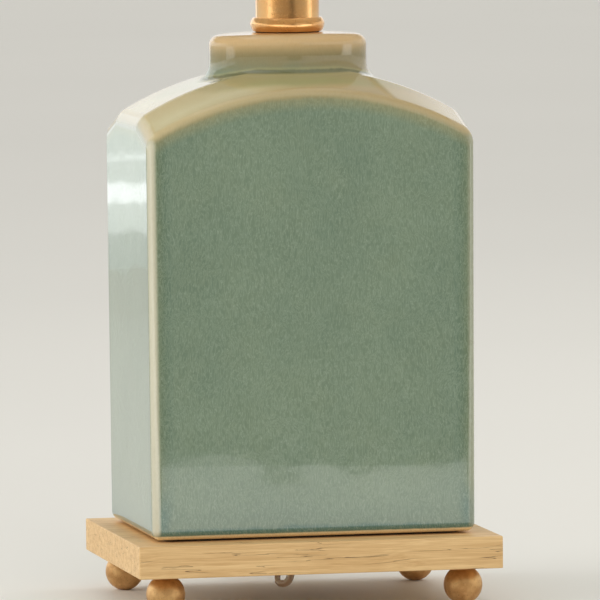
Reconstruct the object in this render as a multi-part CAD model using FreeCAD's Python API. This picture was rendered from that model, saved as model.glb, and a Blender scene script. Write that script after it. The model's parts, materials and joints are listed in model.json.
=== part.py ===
"""Table lamp: a glazed ceramic ginger jar, flat and rectangular, on a wooden base with ball feet.

Millimetres, +Z up, +X to the right along the broad front, +Y to the rear.
The origin is on the table, under the axis of the jar, the stem and the shade.
"""
import FreeCAD, Part
import math
import os

V = FreeCAD.Vector

# ---------------------------------------------------------------- fits
thread_clearance = 0.05      # radial, a screw thread drawn smooth
running_clearance = 0.06     # radial, a spindle that turns in its bore
slip_gap = 0.2               # radial, one thin shell slipped into another
bulb_gap = 0.3               # radial, bulb cap in its screw shell
contact_gap = 0.3            # bulb tip over the centre contact
axial_play = 0.1             # under the head of a swivel rivet
cord_slack = 0.35            # round the cord where something holds it
overrun = 1.0                # how far a cutter runs past a face, or a search past an edge

# ---------------------------------------------------------------- wooden base and feet
plate_width = 243.0
plate_depth = 188.8
plate_thickness = 21.2
plate_ease = 0.8             # eased edges
ball_diameter = 25.6
ball_flat = 0.3              # ground flat under and on top of each ball
ball_inset_x = 21.7          # ball centre from the side of the plate
ball_inset_y = 23.7          # ball centre from the front and rear of the plate
stud_diameter = 4.0
stud_in_ball = 10.0
stud_in_plate = 10.0
felt_thickness = 1.4
felt_inset = 9.0             # felt edge in from the jar's wall
felt_corner = 8.0

# ---------------------------------------------------------------- ceramic jar
jar_width_foot = 216.6
jar_width_shoulder = 219.0
jar_depth = 148.6
jar_wall = 6.0
jar_edge_radius = 6.0        # vertical corners, foot edge, front and rear arches
jar_shoulder_radius = 13.0   # where the shoulders meet the side walls
jar_hip_radius = 16.0        # where front and side shoulders meet
jar_foot_hole = 60.0
shoulder_height = 273.4      # foot to the side shoulder's outer edge
side_rise = 31.5             # side shoulder's edge up to its crown on the axis
front_corner_drop = 11.1     # front arch's ends below the side shoulder's edge
front_rise = 30.6            # front arch, ends to middle
ridge_rise_end = 21.3        # front shoulder, from its edge back to mid-depth, at its ends
ridge_rise_middle = 22.4     # the same in the middle
neck_rise = 23.1             # shoulder's crown to the neck's flat top
neck_width = 105.5
neck_depth = 76.0
neck_end_radius = 27.0       # plan radius of the neck's ends
neck_flare_radius = 13.0     # neck into shoulder
neck_rim_radius = 7.0
neck_dome_radius = 480.0
neck_flat_radius = 25.0      # where the dome is levelled for the ring
neck_crown = 7.0             # ceramic left under the neck's flat top
rod_hole_play = 0.6          # radial, rod in ceramic and wood

# ---------------------------------------------------------------- stem
rod_diameter = 10.2
rod_bore = 6.9
seat_diameter = 42.0
seat_thickness = 0.5
ring_diameter = 49.4
ring_height = 9.0
ring_foot_diameter = 45.6
ring_top_diameter = 45.4
ring_belly_rise = 5.0        # ring's foot up to its widest level
ring_fullness = 0.7          # half-way up, its flanks stand this far out towards the belly
tube_diameter = 42.2
tube_wall = 1.2
tube_height = 36.0
tube_cap_thickness = 2.5
tube_cap_ease = 0.8
spigot_height = 3.0          # ring's and cap's spigots, inside the tube
recess_diameter = 30.0       # under the plate, round the lower nut
recess_depth = 9.0
bottom_washer_diameter = 26.0
bottom_washer_thickness = 1.5
nut_across_flats = 14.0
nut_height = 5.0
nut_chamfer = 0.7
rod_below_nut = 1.0
lock_nut_diameter = 19.0
lock_nut_height = 3.2
rod_in_socket = 6.5
bushing_flange_diameter = 9.4
bushing_flange_thickness = 1.2
bushing_spigot = 5.0

# ---------------------------------------------------------------- lamp holder
socket_diameter = 32.8
socket_wall = 0.7
socket_shell_height = 42.0
socket_overlap = 5.0         # shell inside the cap
cap_wall = 0.9
cap_height = 20.0
cap_boss_diameter = 16.0
cap_boss_height = 4.5
cap_bell_margin = 1.0        # straight rim below the shell's foot
cap_bell_fullness = 0.25     # how far the bell bulges, of its own width
cap_screw_diameter = 3.0
cap_screw_length = 5.0
insulator_wall = 0.9
insulator_setback = 2.0      # insulator and screw shell below the holder's mouth
block_diameter = 27.4
block_below_rim = 7.0        # insulating block's foot below the cap's rim
block_height = 20.0
screw_shell_diameter = 28.0
screw_shell_wall = 0.5
screw_shell_hole = 10.0
contact_diameter = 6.0
contact_height = 2.5
terminal_diameter = 4.5
terminal_length = 2.0
terminal_rise = 2.6          # terminal screws above the block's foot
spindle_diameter = 3.2
spindle_in_block = 8.0
spindle_rise = 8.0           # switch spindle above the cap's rim
spindle_hole_play = 0.8
knob_diameter = 13.0
knob_length = 12.0
knob_standoff = 1.5
knob_ease = 1.0
knob_flutes = 12
knob_flute_radius = 0.8
wire_diameter = 2.0

# ---------------------------------------------------------------- bulb
bulb_length = 108.0
bulb_diameter = 60.0
bulb_glass_wall = 0.8
bulb_neck_diameter = 26.0
bulb_neck_height = 3.0       # glass neck above the cap
bulb_cap_length = 21.5
bulb_cap_wall = 0.5
bulb_tip_diameter = 8.0
bulb_tip_height = 1.5
bulb_cone_height = 3.0
bulb_glass_in_cap = 5.0

# ---------------------------------------------------------------- harp
strip_width = 14.0
strip_thickness = 2.0
strip_bend = 5.0
harp_foot_span = 56.0
post_shoulder = 9.4          # saddle's underside up to its arms' tops
post_height = 7.0
harp_wire = 3.8
harp_height = 229.0          # saddle's underside to the wire at the top
harp_width = 120.0
harp_leg = 40.0              # straight legs up to the first bend's corner
harp_bow_rise = 48.0         # first corner up to the full width
harp_side = 72.0             # straight-side corners apart
harp_top_half = 22.0         # top corners from the axis
harp_bend_foot = 45.0
harp_bend_low = 90.0
harp_bend_high = 80.0
harp_bend_top = 30.0
harp_pad_diameter = 14.0
harp_pad_thickness = 2.6
sleeve_wall = 1.2
sleeve_length = 16.0
rivet_diameter = 4.4
rivet_head_diameter = 8.0
rivet_head_height = 1.2
collar_diameter = 12.0
collar_height = 2.5
top_stud_diameter = 6.2
top_stud_length = 13.0

# ---------------------------------------------------------------- shade and finial
shade_width_bottom = 380.0
shade_depth_bottom = 250.0
shade_width_top = 330.0
shade_depth_top = 200.0
shade_corner_bottom = 34.0
shade_corner_top = 30.0
shade_height = 238.0
shade_fabric_wall = 0.7
shade_liner_wall = 0.9
shade_trim_wall = 0.6
shade_trim_height = 10.0
shade_wire = 3.2
spider_wire = 2.7
shade_wire_gap = 0.15        # wire inside the liner
spider_drop = 12.7           # hub below the shade's top wire
hub_diameter = 26.0
hub_thickness = 1.6
hub_hole_play = 0.4
spider_start = 10.4          # arms begin this far from the axis, inside the hub
spider_level = 28.0          # arms run level this far from the axis
spider_shelf = 20.0          # arms run level again this far from the wire
spider_bend = 14.0
finial_height = 34.0
finial_foot_diameter = 15.0
finial_foot_height = 3.0
finial_foot_bevel = 1.0
finial_neck_rise = 2.0       # foot's top up to the neck
finial_neck_diameter = 8.6
finial_ball_diameter = 20.0
finial_tip_diameter = 6.0
finial_tip_neck_diameter = 4.4
finial_bore_margin = 1.0     # blind bore beyond the stud

# ---------------------------------------------------------------- cord and plug
cord_diameter = 5.0
cord_run_share = 0.45        # part of the shorter run that each bend takes up
clip_centre_x = -6.4
clip_inset = 25.4            # clip's middle from the plate's rear edge
clip_width = 8.0
clip_wall = 1.2
clip_ear = 7.0
clip_screw_diameter = 2.4
clip_screw_length = 8.0
clip_head_diameter = 4.6
clip_head_height = 1.4
coil_centre_x = 26.5
coil_behind_plate = 85.6     # coil's centre from the plate's rear edge
coil_outer_radius = 33.5     # middle of the outermost turn
coil_turns = 8.75
coil_layers = 4
coil_gap = 0.8               # between neighbouring turns and layers
coil_way_step = 0.02         # turns to either side when the cord's direction is taken
gap_step = 2.0               # spacing of the points between which the least gap is measured
tie_thickness = 0.8
tie_width = 9.0
tie_slack = 1.0
tie_lift = 0.3               # between the tie and the turns above and below it
plug_length = 31.0
plug_width = 22.0
plug_height = 11.0
plug_neck_length = 12.0
plug_neck_diameter = 7.6
plug_neck_step = 1.0         # neck's wide end below the body's face
plug_ease = 2.5
blade_length = 17.5
blade_width = 6.35
blade_thickness = 1.5
blade_spacing = 12.7
blade_in_plug = 9.0

# ---------------------------------------------------------------- levels, from the table up
cord_radius = cord_diameter / 2
plate_rear = plate_depth / 2
clip_centre_y = plate_rear - clip_inset
coil_centre_y = plate_rear + coil_behind_plate
plate_bottom = ball_diameter - 2 * ball_flat
plate_top = plate_bottom + plate_thickness
jar_bottom = plate_top + felt_thickness
side_edge_z = jar_bottom + shoulder_height
side_crown_z = side_edge_z + side_rise
front_end_z = side_edge_z - front_corner_drop
front_middle_z = front_end_z + front_rise
ridge_end_z = front_end_z + ridge_rise_end
ridge_middle_z = front_middle_z + ridge_rise_middle
neck_top = side_crown_z + neck_rise
ring_bottom = neck_top + seat_thickness
ring_top = ring_bottom + ring_height
tube_top = ring_top + tube_height
saddle_bottom = tube_top + tube_cap_thickness
saddle_top = saddle_bottom + strip_thickness
socket_bottom = saddle_top + lock_nut_height
rod_top = socket_bottom + rod_in_socket
washer_top = plate_bottom + recess_depth
nut_top = washer_top - bottom_washer_thickness
nut_bottom = nut_top - nut_height
rod_bottom = nut_bottom - rod_below_nut
cord_exit_z = rod_bottom - bushing_flange_thickness
cap_rim = socket_bottom + cap_height
shell_bottom = cap_rim - socket_overlap
shell_top = shell_bottom + socket_shell_height
block_bottom = cap_rim - block_below_rim
block_top = block_bottom + block_height
spindle_z = cap_rim + spindle_rise
contact_top = block_top + contact_height
bulb_bottom = contact_top + contact_gap
bulb_top = bulb_bottom + bulb_length
post_bottom = saddle_bottom + post_shoulder
leg_bottom = post_bottom + post_height
harp_top = saddle_bottom + harp_height
pad_bottom = harp_top - harp_pad_thickness / 2
pad_top = harp_top + harp_pad_thickness / 2
hub_bottom = pad_top + collar_height
hub_top = hub_bottom + hub_thickness
shade_top = hub_bottom + spider_drop + shade_wire
shade_bottom = shade_top - shade_height

rod_radius = rod_diameter / 2
rod_hole_radius = rod_radius + rod_hole_play
jar_half_width = jar_width_shoulder / 2
jar_half_depth = jar_depth / 2
foot_x = plate_width / 2 - ball_inset_x
foot_y = plate_depth / 2 - ball_inset_y
socket_radius = socket_diameter / 2
cap_radius = socket_radius + slip_gap + cap_wall
insulator_radius = socket_radius - socket_wall - slip_gap
screw_shell_radius = screw_shell_diameter / 2
block_radius = block_diameter / 2
bulb_cap_radius = screw_shell_radius - screw_shell_wall - bulb_gap
harp_half_foot = harp_foot_span / 2
harp_wire_radius = harp_wire / 2
top_stud_radius = top_stud_diameter / 2
tube_inner_radius = tube_diameter / 2 - tube_wall


# ---------------------------------------------------------------- building blocks
def disc(radius, low, high, x=0.0, y=0.0):
    """Upright solid cylinder between two levels."""
    return Part.makeCylinder(radius, high - low, V(x, y, low))


def ring(outer, inner, low, high, x=0.0, y=0.0):
    """Upright ring with a straight bore."""
    return disc(outer, low, high, x, y).cut(disc(inner, low, high, x, y))


def block(half_x, half_y, low, high):
    """Upright box centred on the axis."""
    return Part.makeBox(2 * half_x, 2 * half_y, high - low, V(-half_x, -half_y, low))


def outline(steps):
    """Closed wire in the XZ plane.

    Each step is (x, z), a straight side to that point, or (x, z, via_x, via_z), an arc to it.
    """
    points = [V(step[0], 0, step[1]) for step in steps]
    edges = []
    for index, step in enumerate(steps):
        start = points[index - 1]
        end = points[index]
        if len(step) > 2:
            edges.append(Part.Arc(start, V(step[2], 0, step[3]), end).toShape())
        elif start.distanceToPoint(end) > 0:
            edges.append(Part.LineSegment(start, end).toShape())
    return Part.Wire(edges)


def turned(steps):
    """Solid of revolution about Z from an outline of radius and height."""
    return Part.Face(outline(steps)).revolve(V(0, 0, 0), V(0, 0, 1), 360)


def arc_middle(centre_x, centre_z, radius, degrees):
    """Point of a circle in the XZ plane, for the middle of an arc."""
    angle = math.radians(degrees)
    return centre_x + radius * math.cos(angle), centre_z + radius * math.sin(angle)


def rounded_rectangle(half_x, half_y, radius, z):
    """Closed level wire of four sides and four corner arcs."""
    edges = []
    corners = [(1, -1, -90), (1, 1, 0), (-1, 1, 90), (-1, -1, 180)]
    ends = []
    for sign_x, sign_y, first in corners:
        centre = V(sign_x * (half_x - radius), sign_y * (half_y - radius), z)
        on_arc = []
        for degrees in (first, first + 45, first + 90):
            angle = math.radians(degrees)
            on_arc.append(centre + V(math.cos(angle), math.sin(angle), 0) * radius)
        ends.append(on_arc)
    for index, on_arc in enumerate(ends):
        edges.append(Part.LineSegment(ends[index - 1][2], on_arc[0]).toShape())
        edges.append(Part.Arc(*on_arc).toShape())
    return Part.Wire(edges)


def raised(wire, height):
    """Solid from a level wire."""
    return Part.Face(wire).extrude(V(0, 0, height))


def rounded_path(points, radii):
    """Straight runs joined by tangent arcs, one radius for each inner point."""
    edges = []
    start = points[0]
    for index, radius in enumerate(radii, 1):
        corner = points[index]
        back = (points[index - 1] - corner).normalize()
        ahead = (points[index + 1] - corner).normalize()
        half_opening = back.getAngle(ahead) / 2
        reach = radius / math.tan(half_opening)
        centre_way = (back + ahead).normalize()
        centre = corner + centre_way * (radius / math.sin(half_opening))
        first = corner + back * reach
        last = corner + ahead * reach
        edges.append(Part.LineSegment(start, first).toShape())
        edges.append(Part.Arc(first, centre - centre_way * radius, last).toShape())
        start = last
    edges.append(Part.LineSegment(start, points[-1]).toShape())
    return Part.Wire(edges)


def swept(path, radius, start, way):
    """Round solid along a path that begins at start and heads in direction way."""
    section = Part.Wire(Part.Circle(start, way, radius).toShape())
    pipe = Part.BRepOffsetAPI.MakePipeShell(path)
    pipe.add(section)
    pipe.build()
    pipe.makeSolid()
    return pipe.shape()


def tube_along(points, radii, radius):
    """Round solid along straight runs and tangent arcs."""
    return swept(rounded_path(points, radii), radius, points[0], points[1] - points[0])


# ---------------------------------------------------------------- base
def foot_places():
    """Plan positions of the four feet."""
    return [(sx * foot_x, sy * foot_y) for sx in (-1, 1) for sy in (-1, 1)]


def stud_ends():
    """Lower and upper level of the foot studs."""
    return plate_bottom - stud_in_ball, plate_bottom + stud_in_plate


def make_ball_feet():
    """Four turned balls, each with a blind hole for its stud."""
    radius = ball_diameter / 2
    low, high = stud_ends()
    feet = []
    for x, y in foot_places():
        ball = Part.makeSphere(radius, V(x, y, radius - ball_flat))
        ball = ball.common(disc(ball_diameter, 0, plate_bottom, x, y))
        feet.append(ball.cut(disc(stud_diameter / 2 + thread_clearance, low, high, x, y)))
    return Part.makeCompound(feet)


def make_foot_studs():
    """Threaded studs that hold the balls to the plate."""
    low, high = stud_ends()
    return Part.makeCompound([disc(stud_diameter / 2, low, high, x, y) for x, y in foot_places()])


def clip_screw_places():
    """Plan positions of the two cord clip screws."""
    half_spacing = cord_radius + cord_slack + clip_wall + clip_ear / 2
    return [(clip_centre_x + side * half_spacing, clip_centre_y) for side in (-1, 1)]


def make_base_plate():
    """Wooden plate with its rod hole, nut recess, stud holes and clip screw holes."""
    plate = block(plate_width / 2, plate_depth / 2, plate_bottom, plate_top)
    plate = plate.makeFillet(plate_ease, plate.Edges)
    plate = plate.cut(disc(rod_hole_radius, plate_bottom, plate_top))
    plate = plate.cut(disc(recess_diameter / 2, plate_bottom, washer_top))
    low, high = stud_ends()
    for x, y in foot_places():
        plate = plate.cut(disc(stud_diameter / 2 + thread_clearance, low, high, x, y))
    for x, y in clip_screw_places():
        pilot = disc(clip_screw_diameter / 2 + thread_clearance, plate_bottom, clip_screw_top(), x, y)
        plate = plate.cut(pilot)
    return plate


def make_base_felt():
    """Felt pad that carries the jar, with a hole for the rod."""
    half_x = jar_width_foot / 2 - felt_inset
    half_y = jar_half_depth - felt_inset
    pad = raised(rounded_rectangle(half_x, half_y, felt_corner, plate_top), felt_thickness)
    return pad.cut(disc(rod_hole_radius, plate_top, jar_bottom))


# ---------------------------------------------------------------- jar
def arch_height(x, half_span, middle_z, end_z):
    """Height at x of a circular arch through its middle and both ends."""
    rise = middle_z - end_z
    radius = (half_span ** 2 + rise ** 2) / (2 * rise)
    return middle_z - radius + math.sqrt(radius ** 2 - x ** 2)


def arched_section(y, reach, low, middle_z, end_z):
    """Upright wire across the jar, arched on top, that reaches past the jar's sides."""
    top = arch_height(reach, jar_half_width, middle_z, end_z)
    left = V(-reach, y, top)
    right = V(reach, y, top)
    edges = [
        Part.LineSegment(V(-reach, y, low), left).toShape(),
        Part.Arc(left, V(0, y, middle_z), right).toShape(),
        Part.LineSegment(right, V(reach, y, low)).toShape(),
        Part.LineSegment(V(reach, y, low), V(-reach, y, low)).toShape(),
    ]
    return Part.Wire(edges)


def jar_block(inset):
    """Sharp-edged jar: tapering walls under arched front, rear and side shoulders."""
    margin = jar_wall
    low = jar_bottom + inset
    reach = jar_half_width + margin
    half_foot = jar_width_foot / 2 - inset
    half_shoulder = jar_half_width - inset
    half_y = jar_half_depth - inset
    taper_top = ridge_middle_z + margin
    taper = (half_shoulder - half_foot) / (side_edge_z - jar_bottom)
    walls = []
    for z in (low, taper_top):
        half_x = half_foot + taper * (z - low)
        corners = [V(-half_x, -half_y, z), V(half_x, -half_y, z), V(half_x, half_y, z)]
        corners.append(V(-half_x, half_y, z))
        walls.append(Part.makePolygon(corners + corners[:1]))
    body = Part.makeLoft(walls, True, True)
    lowest = low - margin
    outer_y = jar_half_depth + margin
    side = arched_section(-outer_y, reach, lowest, side_crown_z - inset, side_edge_z - inset)
    body = body.common(Part.Face(side).extrude(V(0, 2 * outer_y, 0)))
    # the front shoulder's slope, carried on a little past the front wall
    share = outer_y / jar_half_depth
    middle_z = ridge_middle_z + (front_middle_z - ridge_middle_z) * share - inset
    end_z = ridge_end_z + (front_end_z - ridge_end_z) * share - inset
    sections = [
        arched_section(-outer_y, reach, lowest, middle_z, end_z),
        arched_section(0, reach, lowest, ridge_middle_z - inset, ridge_end_z - inset),
        arched_section(outer_y, reach, lowest, middle_z, end_z),
    ]
    return body.common(Part.makeLoft(sections, True, True))


def neck_plan(inset, z):
    """Four-arc oval of the neck."""
    half_x = neck_width / 2 - inset
    half_y = neck_depth / 2 - inset
    end_radius = neck_end_radius - inset
    offset = half_x - end_radius
    front_radius = (offset ** 2 + half_y ** 2 - end_radius ** 2) / (2 * (half_y - end_radius))
    front_centre = front_radius - half_y
    between = math.hypot(offset, front_centre)
    x = offset + end_radius * offset / between
    y = -end_radius * front_centre / between
    edges = [
        Part.Arc(V(-x, y, z), V(0, -half_y, z), V(x, y, z)).toShape(),
        Part.Arc(V(x, y, z), V(half_x, 0, z), V(x, -y, z)).toShape(),
        Part.Arc(V(x, -y, z), V(0, half_y, z), V(-x, -y, z)).toShape(),
        Part.Arc(V(-x, -y, z), V(-half_x, 0, z), V(-x, y, z)).toShape(),
    ]
    return Part.Wire(edges)


def hip_edges(body):
    """Long creases between the front or rear shoulder and the side shoulders."""
    found = []
    for edge in body.Edges:
        box = edge.BoundBox
        above_front = box.ZMin > side_edge_z - front_corner_drop
        if above_front and box.XLength > jar_half_width and box.YLength > overrun:
            found.append(edge)
    return found


def side_edges(body):
    """Edges where the shoulders meet the two side walls."""
    found = []
    for edge in body.Edges:
        box = edge.BoundBox
        side_reach = min(abs(box.XMin), abs(box.XMax))
        on_side = side_reach > jar_half_width - overrun and box.XMin * box.XMax > 0
        at_top = box.ZMin > side_edge_z - front_corner_drop - overrun
        if on_side and at_top and box.YLength > overrun:
            found.append(edge)
    return found


def outline_edges(body):
    """Edges all round the front and rear walls, and the foot's side edges."""
    found = []
    for edge in body.Edges:
        box = edge.BoundBox
        front_reach = min(abs(box.YMin), abs(box.YMax))
        on_front = front_reach > jar_half_depth - overrun and box.YMin * box.YMax > 0
        if on_front or box.ZMax < jar_bottom + overrun:
            found.append(edge)
    return found


def flare_edges(body):
    """Edges where the neck stands on the shoulder."""
    found = []
    for edge in body.Edges:
        box = edge.BoundBox
        within_x = max(box.XMax, -box.XMin) < neck_width / 2 + overrun
        within_y = max(box.YMax, -box.YMin) < neck_depth / 2 + overrun
        below_top = box.ZMax < neck_top - neck_rim_radius
        if within_x and within_y and below_top and box.ZMin > side_edge_z:
            found.append(edge)
    return found


def rim_edges(body):
    """Outer edge of the neck's domed top."""
    found = []
    for edge in body.Edges:
        box = edge.BoundBox
        reach = max(box.XMax, -box.XMin, box.YMax, -box.YMin)
        near_top = neck_top - neck_rim_radius < box.ZMin and box.ZMax < neck_top
        if reach > neck_flat_radius + overrun and near_top and box.ZLength < neck_rim_radius / 2:
            found.append(edge)
    return found


def make_jar_body():
    """Hollow jar: body, shoulders, flared neck, foot hole and rod hole."""
    body = jar_block(0)
    body = body.makeFillet(jar_hip_radius, hip_edges(body))
    body = body.makeFillet(jar_shoulder_radius, side_edges(body))
    body = body.makeFillet(jar_edge_radius, outline_edges(body))
    neck_foot = side_edge_z
    dome_rise = neck_dome_radius - math.sqrt(neck_dome_radius ** 2 - neck_flat_radius ** 2)
    dome = Part.makeSphere(neck_dome_radius, V(0, 0, neck_top + dome_rise - neck_dome_radius))
    neck = raised(neck_plan(0, neck_foot), neck_top - neck_foot).common(dome)
    body = body.fuse(neck)
    body = body.makeFillet(neck_flare_radius, flare_edges(body))
    body = body.makeFillet(neck_rim_radius, rim_edges(body))
    hollow_top = neck_top - neck_crown
    hollow = jar_block(jar_wall)
    hollow = hollow.fuse(raised(neck_plan(jar_wall, neck_foot), hollow_top - neck_foot))
    body = body.cut(hollow)
    body = body.cut(disc(jar_foot_hole / 2, jar_bottom, jar_bottom + jar_wall))
    return body.cut(disc(rod_hole_radius, hollow_top, neck_top))


# ---------------------------------------------------------------- stem
def make_threaded_rod():
    """Threaded pipe through the whole lamp; the cord runs inside it."""
    return ring(rod_radius, rod_bore / 2, rod_bottom, rod_top)


def threaded_ring(outer_diameter, low, high):
    """Round nut or washer on the rod."""
    return ring(outer_diameter / 2, rod_radius + thread_clearance, low, high)


def make_rod_nut():
    """Hexagon nut in the recess, its corners chamfered."""
    corner = nut_across_flats / 2 / math.cos(math.pi / 6)
    points = []
    for index in range(7):
        angle = index * math.pi / 3
        points.append(V(corner * math.cos(angle), corner * math.sin(angle), nut_bottom))
    nut = raised(Part.makePolygon(points), nut_height)
    bevel = corner - nut_chamfer
    barrel = turned([
        (0, nut_bottom), (bevel, nut_bottom), (corner, nut_bottom + nut_chamfer),
        (corner, nut_top - nut_chamfer), (bevel, nut_top), (0, nut_top),
    ])
    nut = nut.common(barrel)
    return nut.cut(disc(rod_radius + thread_clearance, nut_bottom, nut_top))


def make_cord_bushing():
    """Flanged plastic bush in the rod's lower end, so that the cord isn't cut."""
    hole = cord_radius + running_clearance
    flange = ring(bushing_flange_diameter / 2, hole, cord_exit_z, rod_bottom)
    spigot = ring(rod_bore / 2 - thread_clearance, hole, rod_bottom, rod_bottom + bushing_spigot)
    return flange.fuse(spigot).removeSplitter()


def spigot_radius():
    """Radius of the spigots that centre the neck tube."""
    return tube_inner_radius - running_clearance


def make_neck_ring():
    """Turned ring on the jar's neck, with a rounded rim and a spigot for the tube."""
    hole = rod_radius + rod_hole_play
    foot = ring_foot_diameter / 2
    belly = ring_diameter / 2
    top = ring_top_diameter / 2
    belly_z = ring_bottom + ring_belly_rise
    lower_flank = foot + (belly - foot) * ring_fullness
    upper_flank = top + (belly - top) * ring_fullness
    return turned([
        (hole, ring_bottom), (foot, ring_bottom),
        (belly, belly_z, lower_flank, (ring_bottom + belly_z) / 2),
        (top, ring_top, upper_flank, (ring_top + belly_z) / 2),
        (spigot_radius(), ring_top), (spigot_radius(), ring_top + spigot_height),
        (hole, ring_top + spigot_height),
    ])


def make_neck_tube():
    """Plain tube between the ring and its cap."""
    return ring(tube_diameter / 2, tube_inner_radius, ring_top, tube_top)


def make_tube_cap():
    """Disc that closes the tube, with a spigot down into it."""
    hole = rod_radius + rod_hole_play
    edge = tube_diameter / 2
    return turned([
        (hole, tube_top - spigot_height), (spigot_radius(), tube_top - spigot_height),
        (spigot_radius(), tube_top), (edge, tube_top), (edge, saddle_bottom - tube_cap_ease),
        (edge - tube_cap_ease, saddle_bottom), (hole, saddle_bottom),
    ])


# ---------------------------------------------------------------- lamp holder
def cap_outline_radius(inset):
    """Radii of the holder cap's boss and rim, moved in by its wall for the inside."""
    return cap_boss_diameter / 2 - inset, cap_radius - inset


def make_socket_cap():
    """Holder cap: threaded boss, flared bell and straight rim, with a set screw's hole."""
    boss, rim = cap_outline_radius(0)
    inner_boss, inner_rim = cap_outline_radius(cap_wall)
    boss_top = socket_bottom + cap_boss_height
    bell_top = shell_bottom - cap_bell_margin
    bulge = (rim - boss) * cap_bell_fullness
    hole = rod_radius + thread_clearance
    floor = socket_bottom + rod_in_socket
    cap = turned([
        (hole, socket_bottom), (boss, socket_bottom), (boss, boss_top),
        (rim, bell_top, rim - bulge, boss_top + bulge),
        (rim, cap_rim), (inner_rim, cap_rim), (inner_rim, bell_top),
        (inner_boss, floor, inner_rim - bulge, floor + bulge),
        (hole, floor),
    ])
    return cap.cut(cap_screw_shape(thread_clearance))


def cap_screw_shape(clearance):
    """Set screw in the cap's boss, pointing at the rod from the rear."""
    z = socket_bottom + cap_boss_height / 2
    start = V(0, rod_radius + thread_clearance, z)
    radius = cap_screw_diameter / 2 + clearance
    return Part.makeCylinder(radius, cap_screw_length, start, V(0, 1, 0))


def spindle_bore(radius):
    """Cylinder along the switch spindle's axis, from the block out through the shells."""
    start = V(0, spindle_in_block - block_radius, spindle_z)
    return Part.makeCylinder(radius, spindle_in_block + socket_radius, start, V(0, -1, 0))


def make_socket_shell():
    """Outer shell of the holder, with a hole for the switch spindle."""
    shell = ring(socket_radius, socket_radius - socket_wall, shell_bottom, shell_top)
    return shell.cut(spindle_bore(spindle_diameter / 2 + spindle_hole_play))


def make_socket_insulator():
    """Card sleeve between the shell and the live screw shell."""
    top = shell_top - insulator_setback
    sleeve = ring(insulator_radius, insulator_radius - insulator_wall, shell_bottom, top)
    return sleeve.cut(spindle_bore(spindle_diameter / 2 + spindle_hole_play))


def make_switch_block():
    """Moulded block that holds the switch, the contact and both terminals."""
    solid = disc(block_radius, block_bottom, block_top)
    solid = solid.cut(spindle_bore(spindle_diameter / 2 + running_clearance))
    return solid.cut(terminal_shapes(thread_clearance))


def terminal_shapes(clearance):
    """Two terminal screws, let into the sides of the block's foot."""
    z = block_bottom + terminal_rise
    radius = terminal_diameter / 2 + clearance
    screws = []
    for side in (-1, 1):
        inner = V(side * (block_radius - terminal_length), 0, z)
        screws.append(Part.makeCylinder(radius, terminal_length, inner, V(side, 0, 0)))
    return Part.makeCompound(screws)


def make_screw_shell():
    """Metal shell that the bulb screws into, with a holed floor."""
    top = shell_top - insulator_setback
    floor = block_top + screw_shell_wall
    shell = disc(screw_shell_radius, block_top, top)
    shell = shell.cut(disc(screw_shell_radius - screw_shell_wall, floor, top))
    return shell.cut(disc(screw_shell_hole / 2, block_top, floor))


def make_lead_wires():
    """Two wires from the cord's end to the terminal screws."""
    wires = []
    start_x = wire_diameter / 2 + running_clearance
    level = block_bottom - 2 * wire_diameter
    out = block_radius - wire_diameter
    bends = [wire_diameter, wire_diameter]
    for side in (-1, 1):
        points = [V(side * start_x, 0, rod_top), V(side * start_x, 0, level)]
        points += [V(side * out, 0, level), V(side * out, 0, block_bottom)]
        wires.append(tube_along(points, bends, wire_diameter / 2))
    return Part.makeCompound(wires)


def make_switch_spindle():
    """Round spindle that the knob turns."""
    inner = V(0, spindle_in_block - block_radius, spindle_z)
    length = spindle_in_block - block_radius + socket_radius + knob_standoff + knob_length / 2
    return Part.makeCylinder(spindle_diameter / 2, length, inner, V(0, -1, 0))


def make_switch_knob():
    """Fluted turn knob on the spindle."""
    radius = knob_diameter / 2
    root = -(socket_radius + knob_standoff)
    knob = Part.makeCylinder(radius, knob_length, V(0, root, spindle_z), V(0, -1, 0))
    knob = knob.makeFillet(knob_ease, knob.Edges)
    for index in range(knob_flutes):
        angle = 2 * math.pi * index / knob_flutes
        centre = V(radius * math.cos(angle), root, spindle_z + radius * math.sin(angle))
        knob = knob.cut(Part.makeCylinder(knob_flute_radius, knob_length, centre, V(0, -1, 0)))
    return knob.cut(make_switch_spindle())


# ---------------------------------------------------------------- bulb
def bulb_solid(inset):
    """Bulb's outline turned: neck, cone and sphere, all moved in by inset."""
    radius = bulb_diameter / 2 - inset
    neck = bulb_neck_diameter / 2 - inset
    centre_z = bulb_top - bulb_diameter / 2
    neck_top_z = bulb_bottom + bulb_tip_height + bulb_cone_height + bulb_cap_length + bulb_neck_height
    distance = math.hypot(neck, centre_z - neck_top_z)
    # where the tangent from the neck's upper edge touches the sphere
    touch_angle = math.atan2(neck_top_z - centre_z, neck) + math.acos(radius / distance)
    tangent_x = radius * math.cos(touch_angle)
    tangent_z = centre_z + radius * math.sin(touch_angle)
    middle = (touch_angle + math.pi / 2) / 2
    inner_neck = glass_neck_radius() - inset
    low = neck_top_z - bulb_neck_height - bulb_glass_in_cap + inset
    cap_end = neck_top_z - bulb_neck_height + inset
    return turned([
        (0, low), (inner_neck, low), (inner_neck, cap_end), (neck, cap_end), (neck, neck_top_z),
        (tangent_x, tangent_z),
        (0, centre_z + radius, radius * math.cos(middle), centre_z + radius * math.sin(middle)),
    ])


def glass_neck_radius():
    """Radius of the glass stub inside the bulb's cap."""
    return bulb_cap_radius - bulb_cap_wall - thread_clearance


def make_bulb_glass():
    """Thin glass envelope."""
    return bulb_solid(0).cut(bulb_solid(bulb_glass_wall))


def bulb_cap_levels():
    """Lower and upper level of the bulb's metal cap."""
    low = bulb_bottom + bulb_tip_height + bulb_cone_height
    return low, low + bulb_cap_length


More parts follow.
